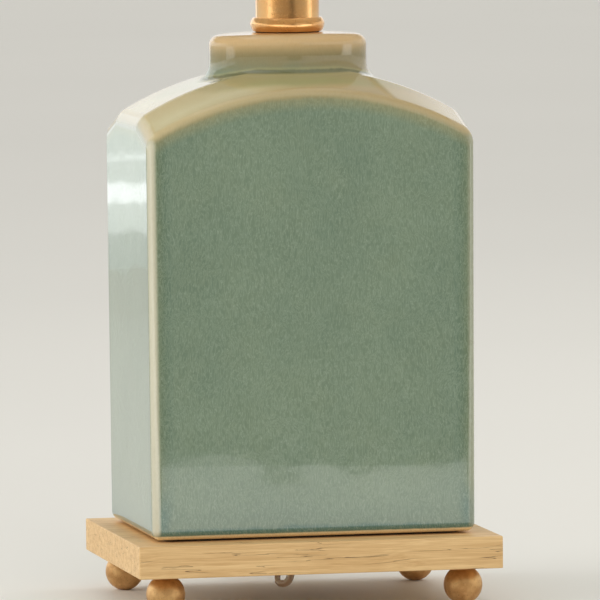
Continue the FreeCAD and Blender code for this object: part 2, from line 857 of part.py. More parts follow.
def make_bulb_cap():
    """Metal screw cap of the bulb."""
    low, high = bulb_cap_levels()
    return ring(bulb_cap_radius, bulb_cap_radius - bulb_cap_wall, low, high)


def make_bulb_insulator():
    """Glass bead that closes the cap's end."""
    low = bulb_bottom + bulb_tip_height
    high = bulb_cap_levels()[0]
    wide = bulb_cap_radius - bulb_cap_wall
    return turned([(0, low), (bulb_tip_diameter / 2, low), (wide, high), (0, high)])


def make_bulb_tip():
    """Centre contact of the bulb."""
    return disc(bulb_tip_diameter / 2, bulb_bottom, bulb_bottom + bulb_tip_height)


# ---------------------------------------------------------------- harp
def make_harp_saddle():
    """Bent strip under the lamp holder, with a round post on each arm."""
    outer = harp_half_foot + strip_thickness / 2
    inner = outer - strip_thickness
    bend_low = saddle_bottom + strip_bend
    inner_bend = strip_bend - strip_thickness
    side = []
    for sign in (1, -1):
        corner_x = sign * (outer - strip_bend)
        start_angle = -45 if sign > 0 else -135
        via = arc_middle(corner_x, bend_low, strip_bend, start_angle)
        inner_via = arc_middle(corner_x, bend_low, inner_bend, start_angle)
        side.append((corner_x, via, inner_via))
    right_x, right_via, right_inner = side[0]
    left_x, left_via, left_inner = side[1]
    profile = outline([
        (right_x, saddle_bottom), (outer, bend_low) + right_via, (outer, post_bottom),
        (inner, post_bottom), (inner, bend_low), (right_x, saddle_top) + right_inner,
        (left_x, saddle_top), (-inner, bend_low) + left_inner, (-inner, post_bottom),
        (-outer, post_bottom), (-outer, bend_low), (left_x, saddle_bottom) + left_via,
    ])
    saddle = Part.Face(profile).extrude(V(0, strip_width, 0))
    saddle.translate(V(0, -strip_width / 2, 0))
    post_root = post_bottom - strip_thickness
    for x in (-harp_half_foot, harp_half_foot):
        saddle = saddle.fuse(disc(harp_wire_radius, post_root, leg_bottom, x))
    return saddle.cut(disc(rod_radius + thread_clearance, saddle_bottom, saddle_top))


def make_harp():
    """Bent wire loop with a flat pad at its top for the swivel stud."""
    half = harp_width / 2
    first_z = leg_bottom + harp_leg
    right = [
        V(harp_half_foot, 0, leg_bottom), V(harp_half_foot, 0, first_z),
        V(half, 0, first_z + harp_bow_rise), V(half, 0, first_z + harp_bow_rise + harp_side),
        V(harp_top_half, 0, harp_top),
    ]
    left = [V(-point.x, 0, point.z) for point in reversed(right)]
    bends = [harp_bend_foot, harp_bend_low, harp_bend_high, harp_bend_top]
    wire = tube_along(right + left, bends + bends[::-1], harp_wire_radius)
    pad_radius = harp_pad_diameter / 2
    pad = disc(pad_radius, pad_bottom, pad_top)
    # the wire is beaten flat where it crosses the pad
    for low, high in ((pad_bottom - harp_wire, pad_bottom), (pad_top, pad_top + harp_wire)):
        wire = wire.cut(disc(pad_radius, low, high))
    hole_radius = rivet_diameter / 2 + running_clearance
    return wire.fuse(pad).cut(disc(hole_radius, pad_bottom - overrun, pad_top + overrun))


def make_harp_sleeves():
    """Two loose sleeves that lock the harp's legs to the saddle's posts."""
    bore = harp_wire_radius + slip_gap
    sleeves = []
    for sign in (-1, 1):
        low = post_bottom
        sleeves.append(ring(bore + sleeve_wall, bore, low, low + sleeve_length, sign * harp_half_foot))
    return Part.makeCompound(sleeves)


def make_harp_stud():
    """Riveted stud that swivels in the harp's pad and carries the shade."""
    head_top = pad_bottom - axial_play
    head_low = head_top - rivet_head_height
    stud = disc(rivet_head_diameter / 2, head_low, head_top)
    stud = stud.fuse(disc(rivet_diameter / 2, head_top, pad_top))
    stud = stud.fuse(disc(collar_diameter / 2, pad_top, hub_bottom))
    stud = stud.fuse(disc(top_stud_radius, hub_bottom, hub_bottom + top_stud_length))
    return stud.removeSplitter()


# ---------------------------------------------------------------- shade
def shade_section(offset, z):
    """Plan of the shade's outer face at a level, moved out by offset."""
    share = (z - shade_bottom) / shade_height
    half_x = (shade_width_bottom + (shade_width_top - shade_width_bottom) * share) / 2 + offset
    half_y = (shade_depth_bottom + (shade_depth_top - shade_depth_bottom) * share) / 2 + offset
    corner = shade_corner_bottom + (shade_corner_top - shade_corner_bottom) * share + offset
    return half_x, half_y, corner


def shade_shell(offset, wall, low, high):
    """Tapering four-sided shell between two levels, its outer face moved out by offset."""
    solids = []
    for extra in (0, wall):
        wires = []
        for z in (low, high):
            half_x, half_y, corner = shade_section(offset - extra, z)
            wires.append(rounded_rectangle(half_x, half_y, corner, z))
        solids.append(Part.makeLoft(wires, True, True))
    return solids[0].cut(solids[1])


def make_shade_fabric():
    """Outer cloth of the shade."""
    return shade_shell(0, shade_fabric_wall, shade_bottom, shade_top)


def make_shade_liner():
    """Stiff backing inside the cloth."""
    return shade_shell(-shade_fabric_wall, shade_liner_wall, shade_bottom, shade_top)


def make_shade_trims():
    """Folded bands round the top and bottom edges."""
    low = shade_shell(shade_trim_wall, shade_trim_wall, shade_bottom, shade_bottom + shade_trim_height)
    high = shade_shell(shade_trim_wall, shade_trim_wall, shade_top - shade_trim_height, shade_top)
    return Part.makeCompound([low, high])


def wire_frame_inset():
    """From the shade's outer face in to the middle of its wires."""
    return shade_fabric_wall + shade_liner_wall + shade_wire_gap + shade_wire / 2


def shade_wire_ring(z):
    """Wire hoop against the liner at a level."""
    half_x, half_y, corner = shade_section(-wire_frame_inset(), z)
    path = rounded_rectangle(half_x, half_y, corner, z)
    start = V(half_x - corner, -half_y, z)
    return swept(path, shade_wire / 2, start, V(1, 0, 0))


def make_shade_spider():
    """Top hoop, four arms and the drilled hub that sits on the harp's stud."""
    ring_z = shade_top - shade_wire
    level = hub_bottom + hub_thickness / 2
    half_x, half_y, _ = shade_section(-wire_frame_inset(), ring_z)
    spider = shade_wire_ring(ring_z)
    for reach, way in ((half_x, V(1, 0, 0)), (half_y, V(0, 1, 0))):
        for sign in (-1, 1):
            points = [way * (sign * spider_start) + V(0, 0, level)]
            points.append(way * (sign * spider_level) + V(0, 0, level))
            points.append(way * (sign * (reach - spider_shelf)) + V(0, 0, ring_z))
            points.append(way * (sign * reach) + V(0, 0, ring_z))
            spider = spider.fuse(tube_along(points, [spider_bend, spider_bend], spider_wire / 2))
    spider = spider.fuse(disc(hub_diameter / 2, hub_bottom, hub_top))
    hole_radius = top_stud_radius + hub_hole_play
    return spider.cut(disc(hole_radius, hub_bottom - overrun, hub_top + overrun))


def make_shade_bottom_ring():
    """Bottom hoop."""
    return shade_wire_ring(shade_bottom + shade_wire)


def make_finial():
    """Turned finial: foot, neck, ball and tip, bored for the stud."""
    base = hub_top
    foot = finial_foot_diameter / 2
    foot_top = base + finial_foot_height
    bevel = finial_foot_bevel
    neck = finial_neck_diameter / 2
    ball = finial_ball_diameter / 2
    tip = finial_tip_diameter / 2
    tip_neck = finial_tip_neck_diameter / 2
    tip_z = base + finial_height - tip
    tip_join = tip_z - math.sqrt(tip ** 2 - tip_neck ** 2)
    ball_z = tip_join - math.sqrt(ball ** 2 - tip_neck ** 2)
    neck_join = ball_z - math.sqrt(ball ** 2 - neck ** 2)
    solid = turned([
        (0, base), (foot, base), (foot, foot_top - bevel), (foot - bevel, foot_top),
        (neck, foot_top + finial_neck_rise), (neck, neck_join),
        (tip_neck, tip_join, ball, ball_z),
        (0, tip_z + tip, tip, tip_z),
    ])
    bore_top = hub_bottom + top_stud_length + finial_bore_margin
    return solid.cut(disc(top_stud_radius + running_clearance, base, bore_top))


# ---------------------------------------------------------------- cord
def coil_pitch():
    """Distance between neighbouring turns, and between layers."""
    return cord_diameter + coil_gap


def coil_floor():
    """Middle of the lowest turn: it lies on the tie, which lies on the table."""
    return tie_thickness + tie_lift + cord_radius


def coil_point(turns):
    """Middle of the cord after so many turns from the coil's start."""
    layer_turns = coil_turns / coil_layers
    layer = min(int(turns / layer_turns), coil_layers - 1)
    along = turns - layer * layer_turns
    inner_radius = coil_outer_radius - coil_pitch() * layer_turns
    radius = coil_outer_radius - coil_pitch() * along
    if layer % 2:
        radius = inner_radius + coil_pitch() * along
    climbed = 0.0
    for reversal in range(1, coil_layers):
        # half a turn of climb, centred where the spiral reverses
        share = (turns - reversal * layer_turns) * 2 + 0.5
        share = min(max(share, 0.0), 1.0)
        climbed += (1 - math.cos(math.pi * share)) / 2
    angle = math.pi - 2 * math.pi * turns
    x = coil_centre_x + radius * math.cos(angle)
    y = coil_centre_y + radius * math.sin(angle)
    return V(x, y, coil_floor() + coil_pitch() * climbed)


def coil_way(turns):
    """Direction of the cord after so many turns."""
    low = max(turns - coil_way_step, 0.0)
    high = min(turns + coil_way_step, coil_turns)
    return (coil_point(high) - coil_point(low)).normalize()


def arc_between(start, corner, end):
    """Arc from start to end, tangent to the lines from both to an equally distant corner."""
    middle = (start + end) / 2
    half_chord = (end - start).Length / 2
    to_corner = corner - middle
    rise = half_chord * math.tan(math.atan2(to_corner.Length, half_chord) / 2)
    return Part.Arc(start, middle + to_corner.normalize() * rise, end).toShape()


def biarc(start, start_way, end, end_way):
    """Two tangent arcs from one point and direction to another."""
    span = end - start
    both = start_way + end_way
    a = 2 * (start_way.dot(end_way) - 1)
    b = -2 * span.dot(both)
    c = span.dot(span)
    reach = (-b - math.sqrt(b * b - 4 * a * c)) / (2 * a)
    first_corner = start + start_way * reach
    second_corner = end - end_way * reach
    joint = (first_corner + second_corner) / 2
    return [arc_between(start, first_corner, joint), arc_between(joint, second_corner, end)]


def coil_ends():
    """Where the coil's straight ends begin and end, and their directions."""
    enter_way = V(0, 1, 0)
    leave_way = V(-1, 0, 0)
    start = coil_point(0) - enter_way * cord_diameter
    end = coil_point(coil_turns) + leave_way * cord_diameter
    return start, enter_way, end, leave_way


def coil_path():
    """Straight end, quarter-turn biarcs, straight end."""
    start, enter_way, end, leave_way = coil_ends()
    quarters = round(coil_turns * 4)
    marks = [coil_turns * index / quarters for index in range(quarters + 1)]
    points = [coil_point(mark) for mark in marks]
    ways = [enter_way] + [coil_way(mark) for mark in marks[1:-1]] + [leave_way]
    edges = [Part.LineSegment(start, points[0]).toShape()]
    for index in range(quarters):
        edges += biarc(points[index], ways[index], points[index + 1], ways[index + 1])
    edges.append(Part.LineSegment(points[-1], end).toShape())
    return Part.Wire(edges)


def least_gap(path, diameter):
    """Smallest space between parts of a wound cord that are over two diameters apart along it."""
    points = path.discretize(int(path.Length / gap_step))
    apart = int(math.pi * diameter / gap_step) + 1
    nearest = path.Length
    for index, point in enumerate(points):
        for other in points[index + apart:]:
            nearest = min(nearest, point.distanceToPoint(other))
    return nearest - diameter


def held_level():
    """Middle of the cord where the clip holds it under the plate."""
    return plate_bottom - cord_radius - cord_slack


def cord_route():
    """Middle of the cord from the rod's bushing to the coil, chosen by hand."""
    held = held_level()
    return [
        V(0, 0, cord_exit_z),
        V(-0.2, 0.1, 16.8),
        V(-2.6, 1.8, 8.2),
        V(-9.4, 6.2, 8.2),
        V(-10.0, 11.5, 15.8),
        V(-9.0, 23.0, held - 0.8),
        V(-7.4, 43.0, held),
        V(clip_centre_x, clip_centre_y, held),
        V(-6.6, plate_rear + 0.6, 20.2),
        V(-8.4, plate_rear + 23.6, 9.4),
        V(-6.2, plate_rear + 47.6, cord_radius),
        V(-6.6, plate_rear + 67.6, cord_radius + 0.4),
        coil_ends()[0],
    ]


def tail_route():
    """Middle of the cord from the coil to the plug, chosen by hand."""
    start = coil_ends()[2]
    middle = V(coil_centre_x, coil_centre_y, 0)
    return [
        start,
        middle + V(-20.5, -33.8, start.z - 0.8),
        middle + V(-36.5, -31.6, 15.0),
        middle + V(-48.5, -24.6, 10.2),
        middle + V(-54.9, -13.0, 6.6),
        middle + V(-55.9, -2.0, plug_height / 2),
    ]


def cord_radii(points):
    """Largest radius that the shorter run beside each inner point allows."""
    radii = []
    for index in range(1, len(points) - 1):
        before = points[index] - points[index - 1]
        after = points[index + 1] - points[index]
        turn = before.getAngle(after)
        radii.append(cord_run_share * min(before.Length, after.Length) / math.tan(turn / 2))
    return radii


def make_cord(name, points):
    """Free stretch of cord; its radii and its volume are printed."""
    radii = cord_radii(points)
    path = rounded_path(points, radii)
    solid = swept(path, cord_radius, points[0], points[1] - points[0])
    report_cord(name, path, solid)
    print(name, "radii", [round(radius, 1) for radius in radii])
    return solid


def report_cord(name, path, solid):
    """Compare a cord's volume with its section times its length."""
    expected = math.pi * cord_radius ** 2 * path.Length
    print(name, "length %.1f" % path.Length, "volume share %.4f" % (solid.Volume / expected))


def make_cord_coil():
    """The cord's spare length, wound up."""
    start, enter_way, _, _ = coil_ends()
    path = coil_path()
    solid = swept(path, cord_radius, start, enter_way)
    report_cord("cord_coil", path, solid)
    print("cord_coil least gap %.2f" % least_gap(path, cord_diameter))
    return solid


def make_cord_tie():
    """Flat band round the coil's bundle, on its far side."""
    inner_radius = coil_outer_radius - coil_pitch() * coil_turns / coil_layers
    low_y = coil_centre_y + inner_radius - cord_radius - tie_slack
    high_y = coil_centre_y + coil_outer_radius + cord_radius + tie_slack
    top = coil_floor() + coil_pitch() * (coil_layers - 1) + cord_radius + tie_lift
    left = coil_centre_x - tie_width / 2
    outside = Part.makeBox(
        tie_width, high_y - low_y + 2 * tie_thickness, top + tie_thickness, V(left, low_y - tie_thickness, 0)
    )
    inside = Part.makeBox(tie_width, high_y - low_y, top - tie_thickness, V(left, low_y, tie_thickness))
    return outside.cut(inside)


def make_inner_cord():
    """The cord inside the rod, from the bushing up to the lamp holder."""
    return disc(cord_radius, cord_exit_z, rod_top)


def clip_screw_top():
    """Upper end of the clip screws, in the wood."""
    return plate_bottom - clip_wall + clip_screw_length


def make_cord_clip():
    """Saddle clip under the plate, round the cord."""
    bore = cord_radius + cord_slack
    outer = bore + clip_wall
    low_y = clip_centre_y - clip_width / 2
    rise = plate_bottom - held_level()
    ear_low = plate_bottom - clip_wall
    ears_left = V(clip_centre_x - outer - clip_ear, low_y, ear_low)
    ears = Part.makeBox(2 * (outer + clip_ear), clip_width, clip_wall, ears_left)
    middle = V(clip_centre_x, low_y, held_level())
    hump = Part.makeCylinder(outer, clip_width, middle, V(0, 1, 0))
    cheeks = Part.makeBox(2 * outer, clip_width, rise, middle - V(outer, 0, 0))
    below = Part.makeBox(4 * outer, clip_width, 4 * outer, middle + V(-2 * outer, 0, rise - 4 * outer))
    clip = hump.fuse([cheeks, ears]).common(below)
    clip = clip.cut(Part.makeCylinder(bore, clip_width, middle, V(0, 1, 0)))
    clip = clip.cut(Part.makeBox(2 * bore, clip_width, rise, middle - V(bore, 0, 0)))
    for x, y in clip_screw_places():
        hole = disc(clip_screw_diameter / 2 + thread_clearance, ear_low, plate_bottom, x, y)
        clip = clip.cut(hole)
    return clip


def make_clip_screws():
    """Two pan-headed screws that hold the clip."""
    low = plate_bottom - clip_wall
    screws = []
    for x, y in clip_screw_places():
        head = disc(clip_head_diameter / 2, low - clip_head_height, low, x, y)
        shank = disc(clip_screw_diameter / 2, low, clip_screw_top(), x, y)
        screws.append(head.fuse(shank).removeSplitter())
    return Part.makeCompound(screws)


# ---------------------------------------------------------------- plug
def plug_frame():
    """The plug's start at the cord and its direction."""
    route = tail_route()
    return route[-1], (route[-1] - route[-2])


def placed_plug(shape):
    """Move a shape made along +X from the origin to where the plug lies, level on the table."""
    start, way = plug_frame()
    turned_by = math.degrees(math.atan2(way.y, way.x))
    shape.rotate(V(0, 0, 0), V(0, 0, 1), turned_by)
    shape.translate(start)
    return shape


def make_plug_body():
    """Moulded plug: a tapered neck and a flat rounded body, slotted for its blades."""
    neck_start = plug_neck_diameter / 2
    neck_end = plug_height / 2 - plug_neck_step
    neck = Part.makeCone(neck_start, neck_end, plug_neck_length, V(0, 0, 0), V(1, 0, 0))
    body_start = plug_neck_length / 2
    body_corner = V(body_start, -plug_width / 2, -plug_height / 2)
    body = Part.makeBox(plug_length - body_start, plug_width, plug_height, body_corner)
    body = body.makeFillet(plug_ease, body.Edges)
    return placed_plug(body.fuse(neck).cut(blade_boxes(plug_length)))


def blade_boxes(face):
    """Two flat blades that start inside the plug's face."""
    blades = []
    for side in (-1, 1):
        middle_y = side * blade_spacing / 2
        corner = V(face - blade_in_plug, middle_y - blade_thickness / 2, -blade_width / 2)
        blades.append(Part.makeBox(blade_in_plug + blade_length, blade_thickness, blade_width, corner))
    return Part.makeCompound(blades)


def make_plug_blades():
    """The plug's two blades."""
    return placed_plug(blade_boxes(plug_length))


# ---------------------------------------------------------------- all nodes
def nodes():
    """Every sub-part by name."""
    return {
        "ball_feet": make_ball_feet(),
        "foot_studs": make_foot_studs(),
        "base_plate": make_base_plate(),
        "base_felt": make_base_felt(),
        "jar_body": make_jar_body(),
        "threaded_rod": make_threaded_rod(),
        "bottom_washer": threaded_ring(bottom_washer_diameter, nut_top, washer_top),
        "rod_nut": make_rod_nut(),
        "cord_bushing": make_cord_bushing(),
        "neck_seat": threaded_ring(seat_diameter, neck_top, ring_bottom),
        "neck_ring": make_neck_ring(),
        "neck_tube": make_neck_tube(),
        "tube_cap": make_tube_cap(),
        "harp_saddle": make_harp_saddle(),
        "lock_nut": threaded_ring(lock_nut_diameter, saddle_top, socket_bottom),
        "socket_cap": make_socket_cap(),
        "cap_screw": cap_screw_shape(0),
        "socket_shell": make_socket_shell(),
        "socket_insulator": make_socket_insulator(),
        "switch_block": make_switch_block(),
        "terminal_screws": terminal_shapes(0),
        "screw_shell": make_screw_shell(),
        "centre_contact": disc(contact_diameter / 2, block_top, contact_top),
        "lead_wires": make_lead_wires(),
        "inner_cord": make_inner_cord(),
        "switch_spindle": make_switch_spindle(),
        "switch_knob": make_switch_knob(),
        "bulb_glass": make_bulb_glass(),
        "bulb_cap": make_bulb_cap(),
        "bulb_insulator": make_bulb_insulator(),
        "bulb_tip": make_bulb_tip(),
        "harp": make_harp(),
        "harp_sleeves": make_harp_sleeves(),
        "harp_stud": make_harp_stud(),
        "shade_fabric": make_shade_fabric(),
        "shade_liner": make_shade_liner(),
        "shade_trims": make_shade_trims(),
        "shade_spider": make_shade_spider(),
        "shade_bottom_ring": make_shade_bottom_ring(),
        "finial": make_finial(),
        "cord_run": make_cord("cord_run", cord_route()),
        "cord_coil": make_cord_coil(),
        "cord_tail": make_cord("cord_tail", tail_route()),
        "cord_tie": make_cord_tie(),
        "cord_clip": make_cord_clip(),
        "clip_screws": make_clip_screws(),
        "plug_body": make_plug_body(),
        "plug_blades": make_plug_blades(),
    }


def main():
    """Write one STEP file for each sub-part."""
    os.makedirs("parts", exist_ok=True)
    for name, shape in nodes().items():
        state = "valid" if shape.isValid() else "NOT VALID"
        print(name, len(shape.Solids), state, "%.0f" % shape.Volume)
        shape.exportStep("parts/" + name + ".step")


main()
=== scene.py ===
"""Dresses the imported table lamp: its finishes, cloth, cord and the studio round it."""

import enum
import json
import logging
import math
from collections.abc import Iterable, Sequence
from dataclasses import dataclass

import bmesh
import bpy
import numpy as np
from mathutils import Matrix, Vector

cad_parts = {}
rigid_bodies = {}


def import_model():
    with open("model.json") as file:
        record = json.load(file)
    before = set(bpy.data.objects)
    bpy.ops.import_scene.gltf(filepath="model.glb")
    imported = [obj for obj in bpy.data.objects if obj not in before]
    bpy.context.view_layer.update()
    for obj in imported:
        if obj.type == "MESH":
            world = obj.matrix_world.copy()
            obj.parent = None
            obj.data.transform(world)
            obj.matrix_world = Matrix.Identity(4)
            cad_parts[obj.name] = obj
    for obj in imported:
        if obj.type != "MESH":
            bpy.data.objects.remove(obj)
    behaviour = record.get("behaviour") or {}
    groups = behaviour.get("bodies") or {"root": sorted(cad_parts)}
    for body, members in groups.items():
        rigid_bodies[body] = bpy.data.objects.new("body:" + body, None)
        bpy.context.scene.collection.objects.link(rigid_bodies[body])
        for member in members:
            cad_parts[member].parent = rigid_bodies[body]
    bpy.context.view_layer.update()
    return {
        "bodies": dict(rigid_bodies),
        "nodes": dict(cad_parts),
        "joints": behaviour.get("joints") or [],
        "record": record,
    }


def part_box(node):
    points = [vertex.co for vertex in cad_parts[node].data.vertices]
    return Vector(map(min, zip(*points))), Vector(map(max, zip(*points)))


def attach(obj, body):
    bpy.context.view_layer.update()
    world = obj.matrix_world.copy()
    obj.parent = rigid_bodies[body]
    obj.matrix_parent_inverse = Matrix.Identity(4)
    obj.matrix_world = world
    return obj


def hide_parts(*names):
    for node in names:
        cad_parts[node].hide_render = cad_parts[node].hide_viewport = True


MM = 0.001
LOG = logging.getLogger("lamp")
Point = tuple[float, float, float]
Colour = tuple[float, float, float, float]
Tint = Point | Colour | bpy.types.NodeSocket


# ---------------------------------------------------------------- values in a node tree
def paint(red: float, green: float, blue: float) -> Colour:
    """Turn a colour as it looks on a screen, 0 to 255, into the shader's linear one.

    Args:
        red: Red part.
        green: Green part.
        blue: Blue part.

    Returns:
        The linear colour with full opacity.
    """
    parts = []
    for part in (red / 255, green / 255, blue / 255):
        low = part / 12.92
        high = ((part + 0.055) / 1.055) ** 2.4
        parts.append(low if part <= 0.04045 else high)
    return (parts[0], parts[1], parts[2], 1.0)


class Field:
    """A number that varies over a surface, written with ordinary signs."""

    def __init__(self, tree: bpy.types.NodeTree, source: bpy.types.NodeSocket | float) -> None:
        """Keep the tree and the socket or number that gives the value."""
        self.tree = tree
        self.source = source

    def plug(self, socket: bpy.types.NodeSocket) -> None:
        """Feed this value into a socket."""
        if isinstance(self.source, (int, float)):
            socket.default_value = self.source
        else:
            self.tree.links.new(self.source, socket)

    def math(self, operation: str, *others: "Field | float") -> "Field":
        """Add a Math node.

        Args:
            operation: The node's operation.
            others: Its second and third values.

        Returns:
            The node's result.
        """
        node = self.tree.nodes.new("ShaderNodeMath")
        node.operation = operation
        self.plug(node.inputs[0])
        for socket, other in zip(node.inputs[1:], others):
            as_field(self.tree, other).plug(socket)
        return Field(self.tree, node.outputs[0])

    def __add__(self, other: "Field | float") -> "Field":
        """Sum."""
        return self.math("ADD", other)

    __radd__ = __add__

    def __sub__(self, other: "Field | float") -> "Field":
        """Difference."""
        return self.math("SUBTRACT", other)

    def __rsub__(self, other: float) -> "Field":
        """Difference from a number."""
        return Field(self.tree, other).math("SUBTRACT", self)

    def __mul__(self, other: "Field | float") -> "Field":
        """Product."""
        return self.math("MULTIPLY", other)

    __rmul__ = __mul__

    def __truediv__(self, other: "Field | float") -> "Field":
        """Quotient."""
        return self.math("DIVIDE", other)

    def least(self, other: "Field | float") -> "Field":
        """Smaller of two values."""
        return self.math("MINIMUM", other)

    def most(self, other: "Field | float") -> "Field":
        """Larger of two values."""
        return self.math("MAXIMUM", other)

    def size(self) -> "Field":
        """Value without its sign."""
        return self.math("ABSOLUTE")

    def arch(self, radius: float) -> "Field":
        """Height of a circle's upper half at this distance from its centre."""
        return (radius**2 - self * self).most(0.0).math("SQRT")

    def rise(self, low: float, high: float) -> "Field":
        """Go smoothly from 0 at low to 1 at high, or from 1 to 0 where low is the larger."""
        node = self.tree.nodes.new("ShaderNodeMapRange")
        node.interpolation_type = "SMOOTHSTEP"
        node.inputs["From Min"].default_value = min(low, high)
        node.inputs["From Max"].default_value = max(low, high)
        node.inputs["To Min"].default_value = 0.0 if low < high else 1.0
        node.inputs["To Max"].default_value = 1.0 if low < high else 0.0
        self.plug(node.inputs["Value"])
        return Field(self.tree, node.outputs["Result"])


def as_field(tree: bpy.types.NodeTree, value: Field | float) -> Field:
    """Wrap a plain number as a field of that tree."""
    return value if isinstance(value, Field) else Field(tree, float(value))


class Sheet:
    """Drawing board for one node tree: short ways to add the nodes that a finish needs."""

    def __init__(self, tree: bpy.types.NodeTree) -> None:
        """Keep the tree."""
        self.tree = tree

    def new(self, kind: str, **values: object) -> bpy.types.Node:
        """Add a node.

        Args:
            kind: The node's type.
            values: Its properties.

        Returns:
            The node.
        """
        node = self.tree.nodes.new(kind)
        for name, value in values.items():
            setattr(node, name, value)
        return node

    def field(self, socket: bpy.types.NodeSocket) -> Field:
        """Wrap an output."""
        return Field(self.tree, socket)

    def split(self, vector: bpy.types.NodeSocket, scale: float = 1.0) -> tuple[Field, Field, Field]:
        """Take a vector apart, each part times scale."""
        node = self.new("ShaderNodeSeparateXYZ")
        self.tree.links.new(vector, node.inputs[0])
        x, y, z = (self.field(out) * scale for out in node.outputs)
        return x, y, z

    def place(self) -> tuple[Field, Field, Field]:
        """Place on the object in millimetres."""
        return self.split(self.new("ShaderNodeTexCoord").outputs["Object"], 1 / MM)

    def flat_place(self) -> tuple[Field, Field]:
        """Place in the piece's own flat map in millimetres."""
        u, v, _ = self.split(self.new("ShaderNodeTexCoord").outputs["UV"], 1 / MM)
        return u, v

    def join(self, x: Field | float, y: Field | float, z: Field | float) -> bpy.types.NodeSocket:
        """Put three values together as a vector."""
        node = self.new("ShaderNodeCombineXYZ")
        for socket, value in zip(node.inputs, (x, y, z)):
            as_field(self.tree, value).plug(socket)
        return node.outputs[0]

    def noise(
        self, place: tuple[Field, Field, Field], sizes: Point, detail: float = 2.0, seed: float = 0.0
    ) -> Field:
        """Smooth noise around one half.

        Args:
            place: Where it is read, in millimetres.
            sizes: Size of its patches each way, in millimetres.
            detail: How many finer octaves it has.
            seed: Shifts it, so that two noises differ.

        Returns:
            The noise.
        """
        parts = [part / size + seed for part, size in zip(place, sizes)]
        node = self.new("ShaderNodeTexNoise")
        node.inputs["Scale"].default_value = 1.0
        node.inputs["Detail"].default_value = detail
        self.tree.links.new(self.join(*parts), node.inputs["Vector"])
        return self.field(node.outputs["Fac"])

    def cracks(self, place: tuple[Field, Field, Field], sizes: Point, seed: float = 0.0) -> Field:
        """Distance to the nearest edge of a net of cells, as a share of a cell."""
        parts = [part / size + seed for part, size in zip(place, sizes)]
        node = self.new("ShaderNodeTexVoronoi", feature="DISTANCE_TO_EDGE")
        node.inputs["Scale"].default_value = 1.0
        self.tree.links.new(self.join(*parts), node.inputs["Vector"])
        return self.field(node.outputs["Distance"])

    def mix(self, share: Field, low: Tint, high: Tint) -> bpy.types.NodeSocket:
        """Mix two colours.

        Args:
            share: 0 for the low colour, 1 for the high one.
            low: Screen colour of three parts, linear colour of four, or socket.
            high: The other colour, given in the same way.

        Returns:
            The mixed colour's socket.
        """
        node = self.new("ShaderNodeMix", data_type="RGBA")
        share.plug(node.inputs[0])
        for socket, value in ((node.inputs[6], low), (node.inputs[7], high)):
            if isinstance(value, tuple):
                socket.default_value = paint(*value) if len(value) == 3 else value
            else:
                self.tree.links.new(value, socket)
        return node.outputs[2]

    def layers(self, ground: Tint, coats: Iterable[tuple[Field, Tint]]) -> Tint:
        """Lay colours over a ground, each by its own share."""
        for share, colour in coats:
            ground = self.mix(share, ground, colour)
        return ground

    def use(self, group: bpy.types.NodeTree, **values: object) -> bpy.types.Node:
        """Place a shared effect.

        Args:
            group: The effect's node group.
            values: Its inputs by name, as numbers, fields or sockets.

        Returns:
            The group's node.
        """
        node = self.new("ShaderNodeGroup", node_tree=group)
        for name, value in values.items():
            if isinstance(value, Field):
                value.plug(node.inputs[name])
            elif isinstance(value, bpy.types.NodeSocket):
                self.tree.links.new(value, node.inputs[name])
            else:
                node.inputs[name].default_value = value
        return node


class Coat(Sheet):
    """A material under construction, with one glossy shader."""

    def __init__(self, name: str) -> None:
        """Start a material with an output and a Principled shader."""
        self.material = bpy.data.materials.new(name)
        self.material.use_nodes = True
        super().__init__(self.material.node_tree)
        self.tree.nodes.clear()
        self.shader = self.new("ShaderNodeBsdfPrincipled")
        output = self.new("ShaderNodeOutputMaterial")
        self.tree.links.new(self.shader.outputs[0], output.inputs["Surface"])

    def set(self, name: str, value: "Field | bpy.types.NodeSocket | float | Colour") -> None:
        """Give the shader's input a field, a socket or a constant."""
        socket = self.shader.inputs[name]
        if isinstance(value, Field):
            value.plug(socket)
        elif isinstance(value, bpy.types.NodeSocket):
            self.tree.links.new(value, socket)
        else:
            socket.default_value = value

    def bump(self, height: Field, depth: float) -> None:
        """Raise the surface by a height field.

        Args:
            height: 0 to 1.
            depth: Height of 1 in millimetres.
        """
        node = self.new("ShaderNodeBump")
        node.inputs["Strength"].default_value = 1.0
        node.inputs["Distance"].default_value = depth * MM
        height.plug(node.inputs["Height"])
        self.tree.links.new(node.outputs[0], self.shader.inputs["Normal"])

    def patina(self, effects: "Effects", size: float, specks: float) -> tuple[Field, Field]:
        """Read the shared handling marks on this object.

        Args:
            effects: The shared groups.
            size: Size of a cloud in millimetres.
            specks: Strength of the specks.

        Returns:
            The clouds and the specks.
        """
        node = self.use(effects.patina, Vector=self.join(*self.place()), Size=size, Specks=specks)
        return self.field(node.outputs["Cloud"]), self.field(node.outputs["Speck"])

    def done(
        self, values: dict[str, object], height: Field | None = None, depth: float = 0.0
    ) -> bpy.types.Material:
        """Set the shader's inputs and the bump, and hand over the material.

        Args:
            values: Field, socket or constant of each input.
            height: Bump height, 0 to 1, or None.
            depth: Height of 1 in millimetres.

        Returns:
            The material.
        """
        for name, value in values.items():
            self.set(name, value)
        if height is not None:
            self.bump(height, depth)
        return self.material


# ---------------------------------------------------------------- effects that several finishes share
def shared_effect(name: str, inputs: Iterable[tuple[str, str]], outputs: Iterable[str]) -> Sheet:
    """Start a shader node group.

    Args:
        name: The group's name.
        inputs: Name and socket type of each input.
        outputs: Names of its number outputs.

    Returns:
        A sheet on the new group.
    """
    tree = bpy.data.node_groups.new(name, "ShaderNodeTree")
    for label, kind in inputs:
        tree.interface.new_socket(label, in_out="INPUT", socket_type=kind)
    for label in outputs:
        tree.interface.new_socket(label, in_out="OUTPUT", socket_type="NodeSocketFloat")
    return Sheet(tree)


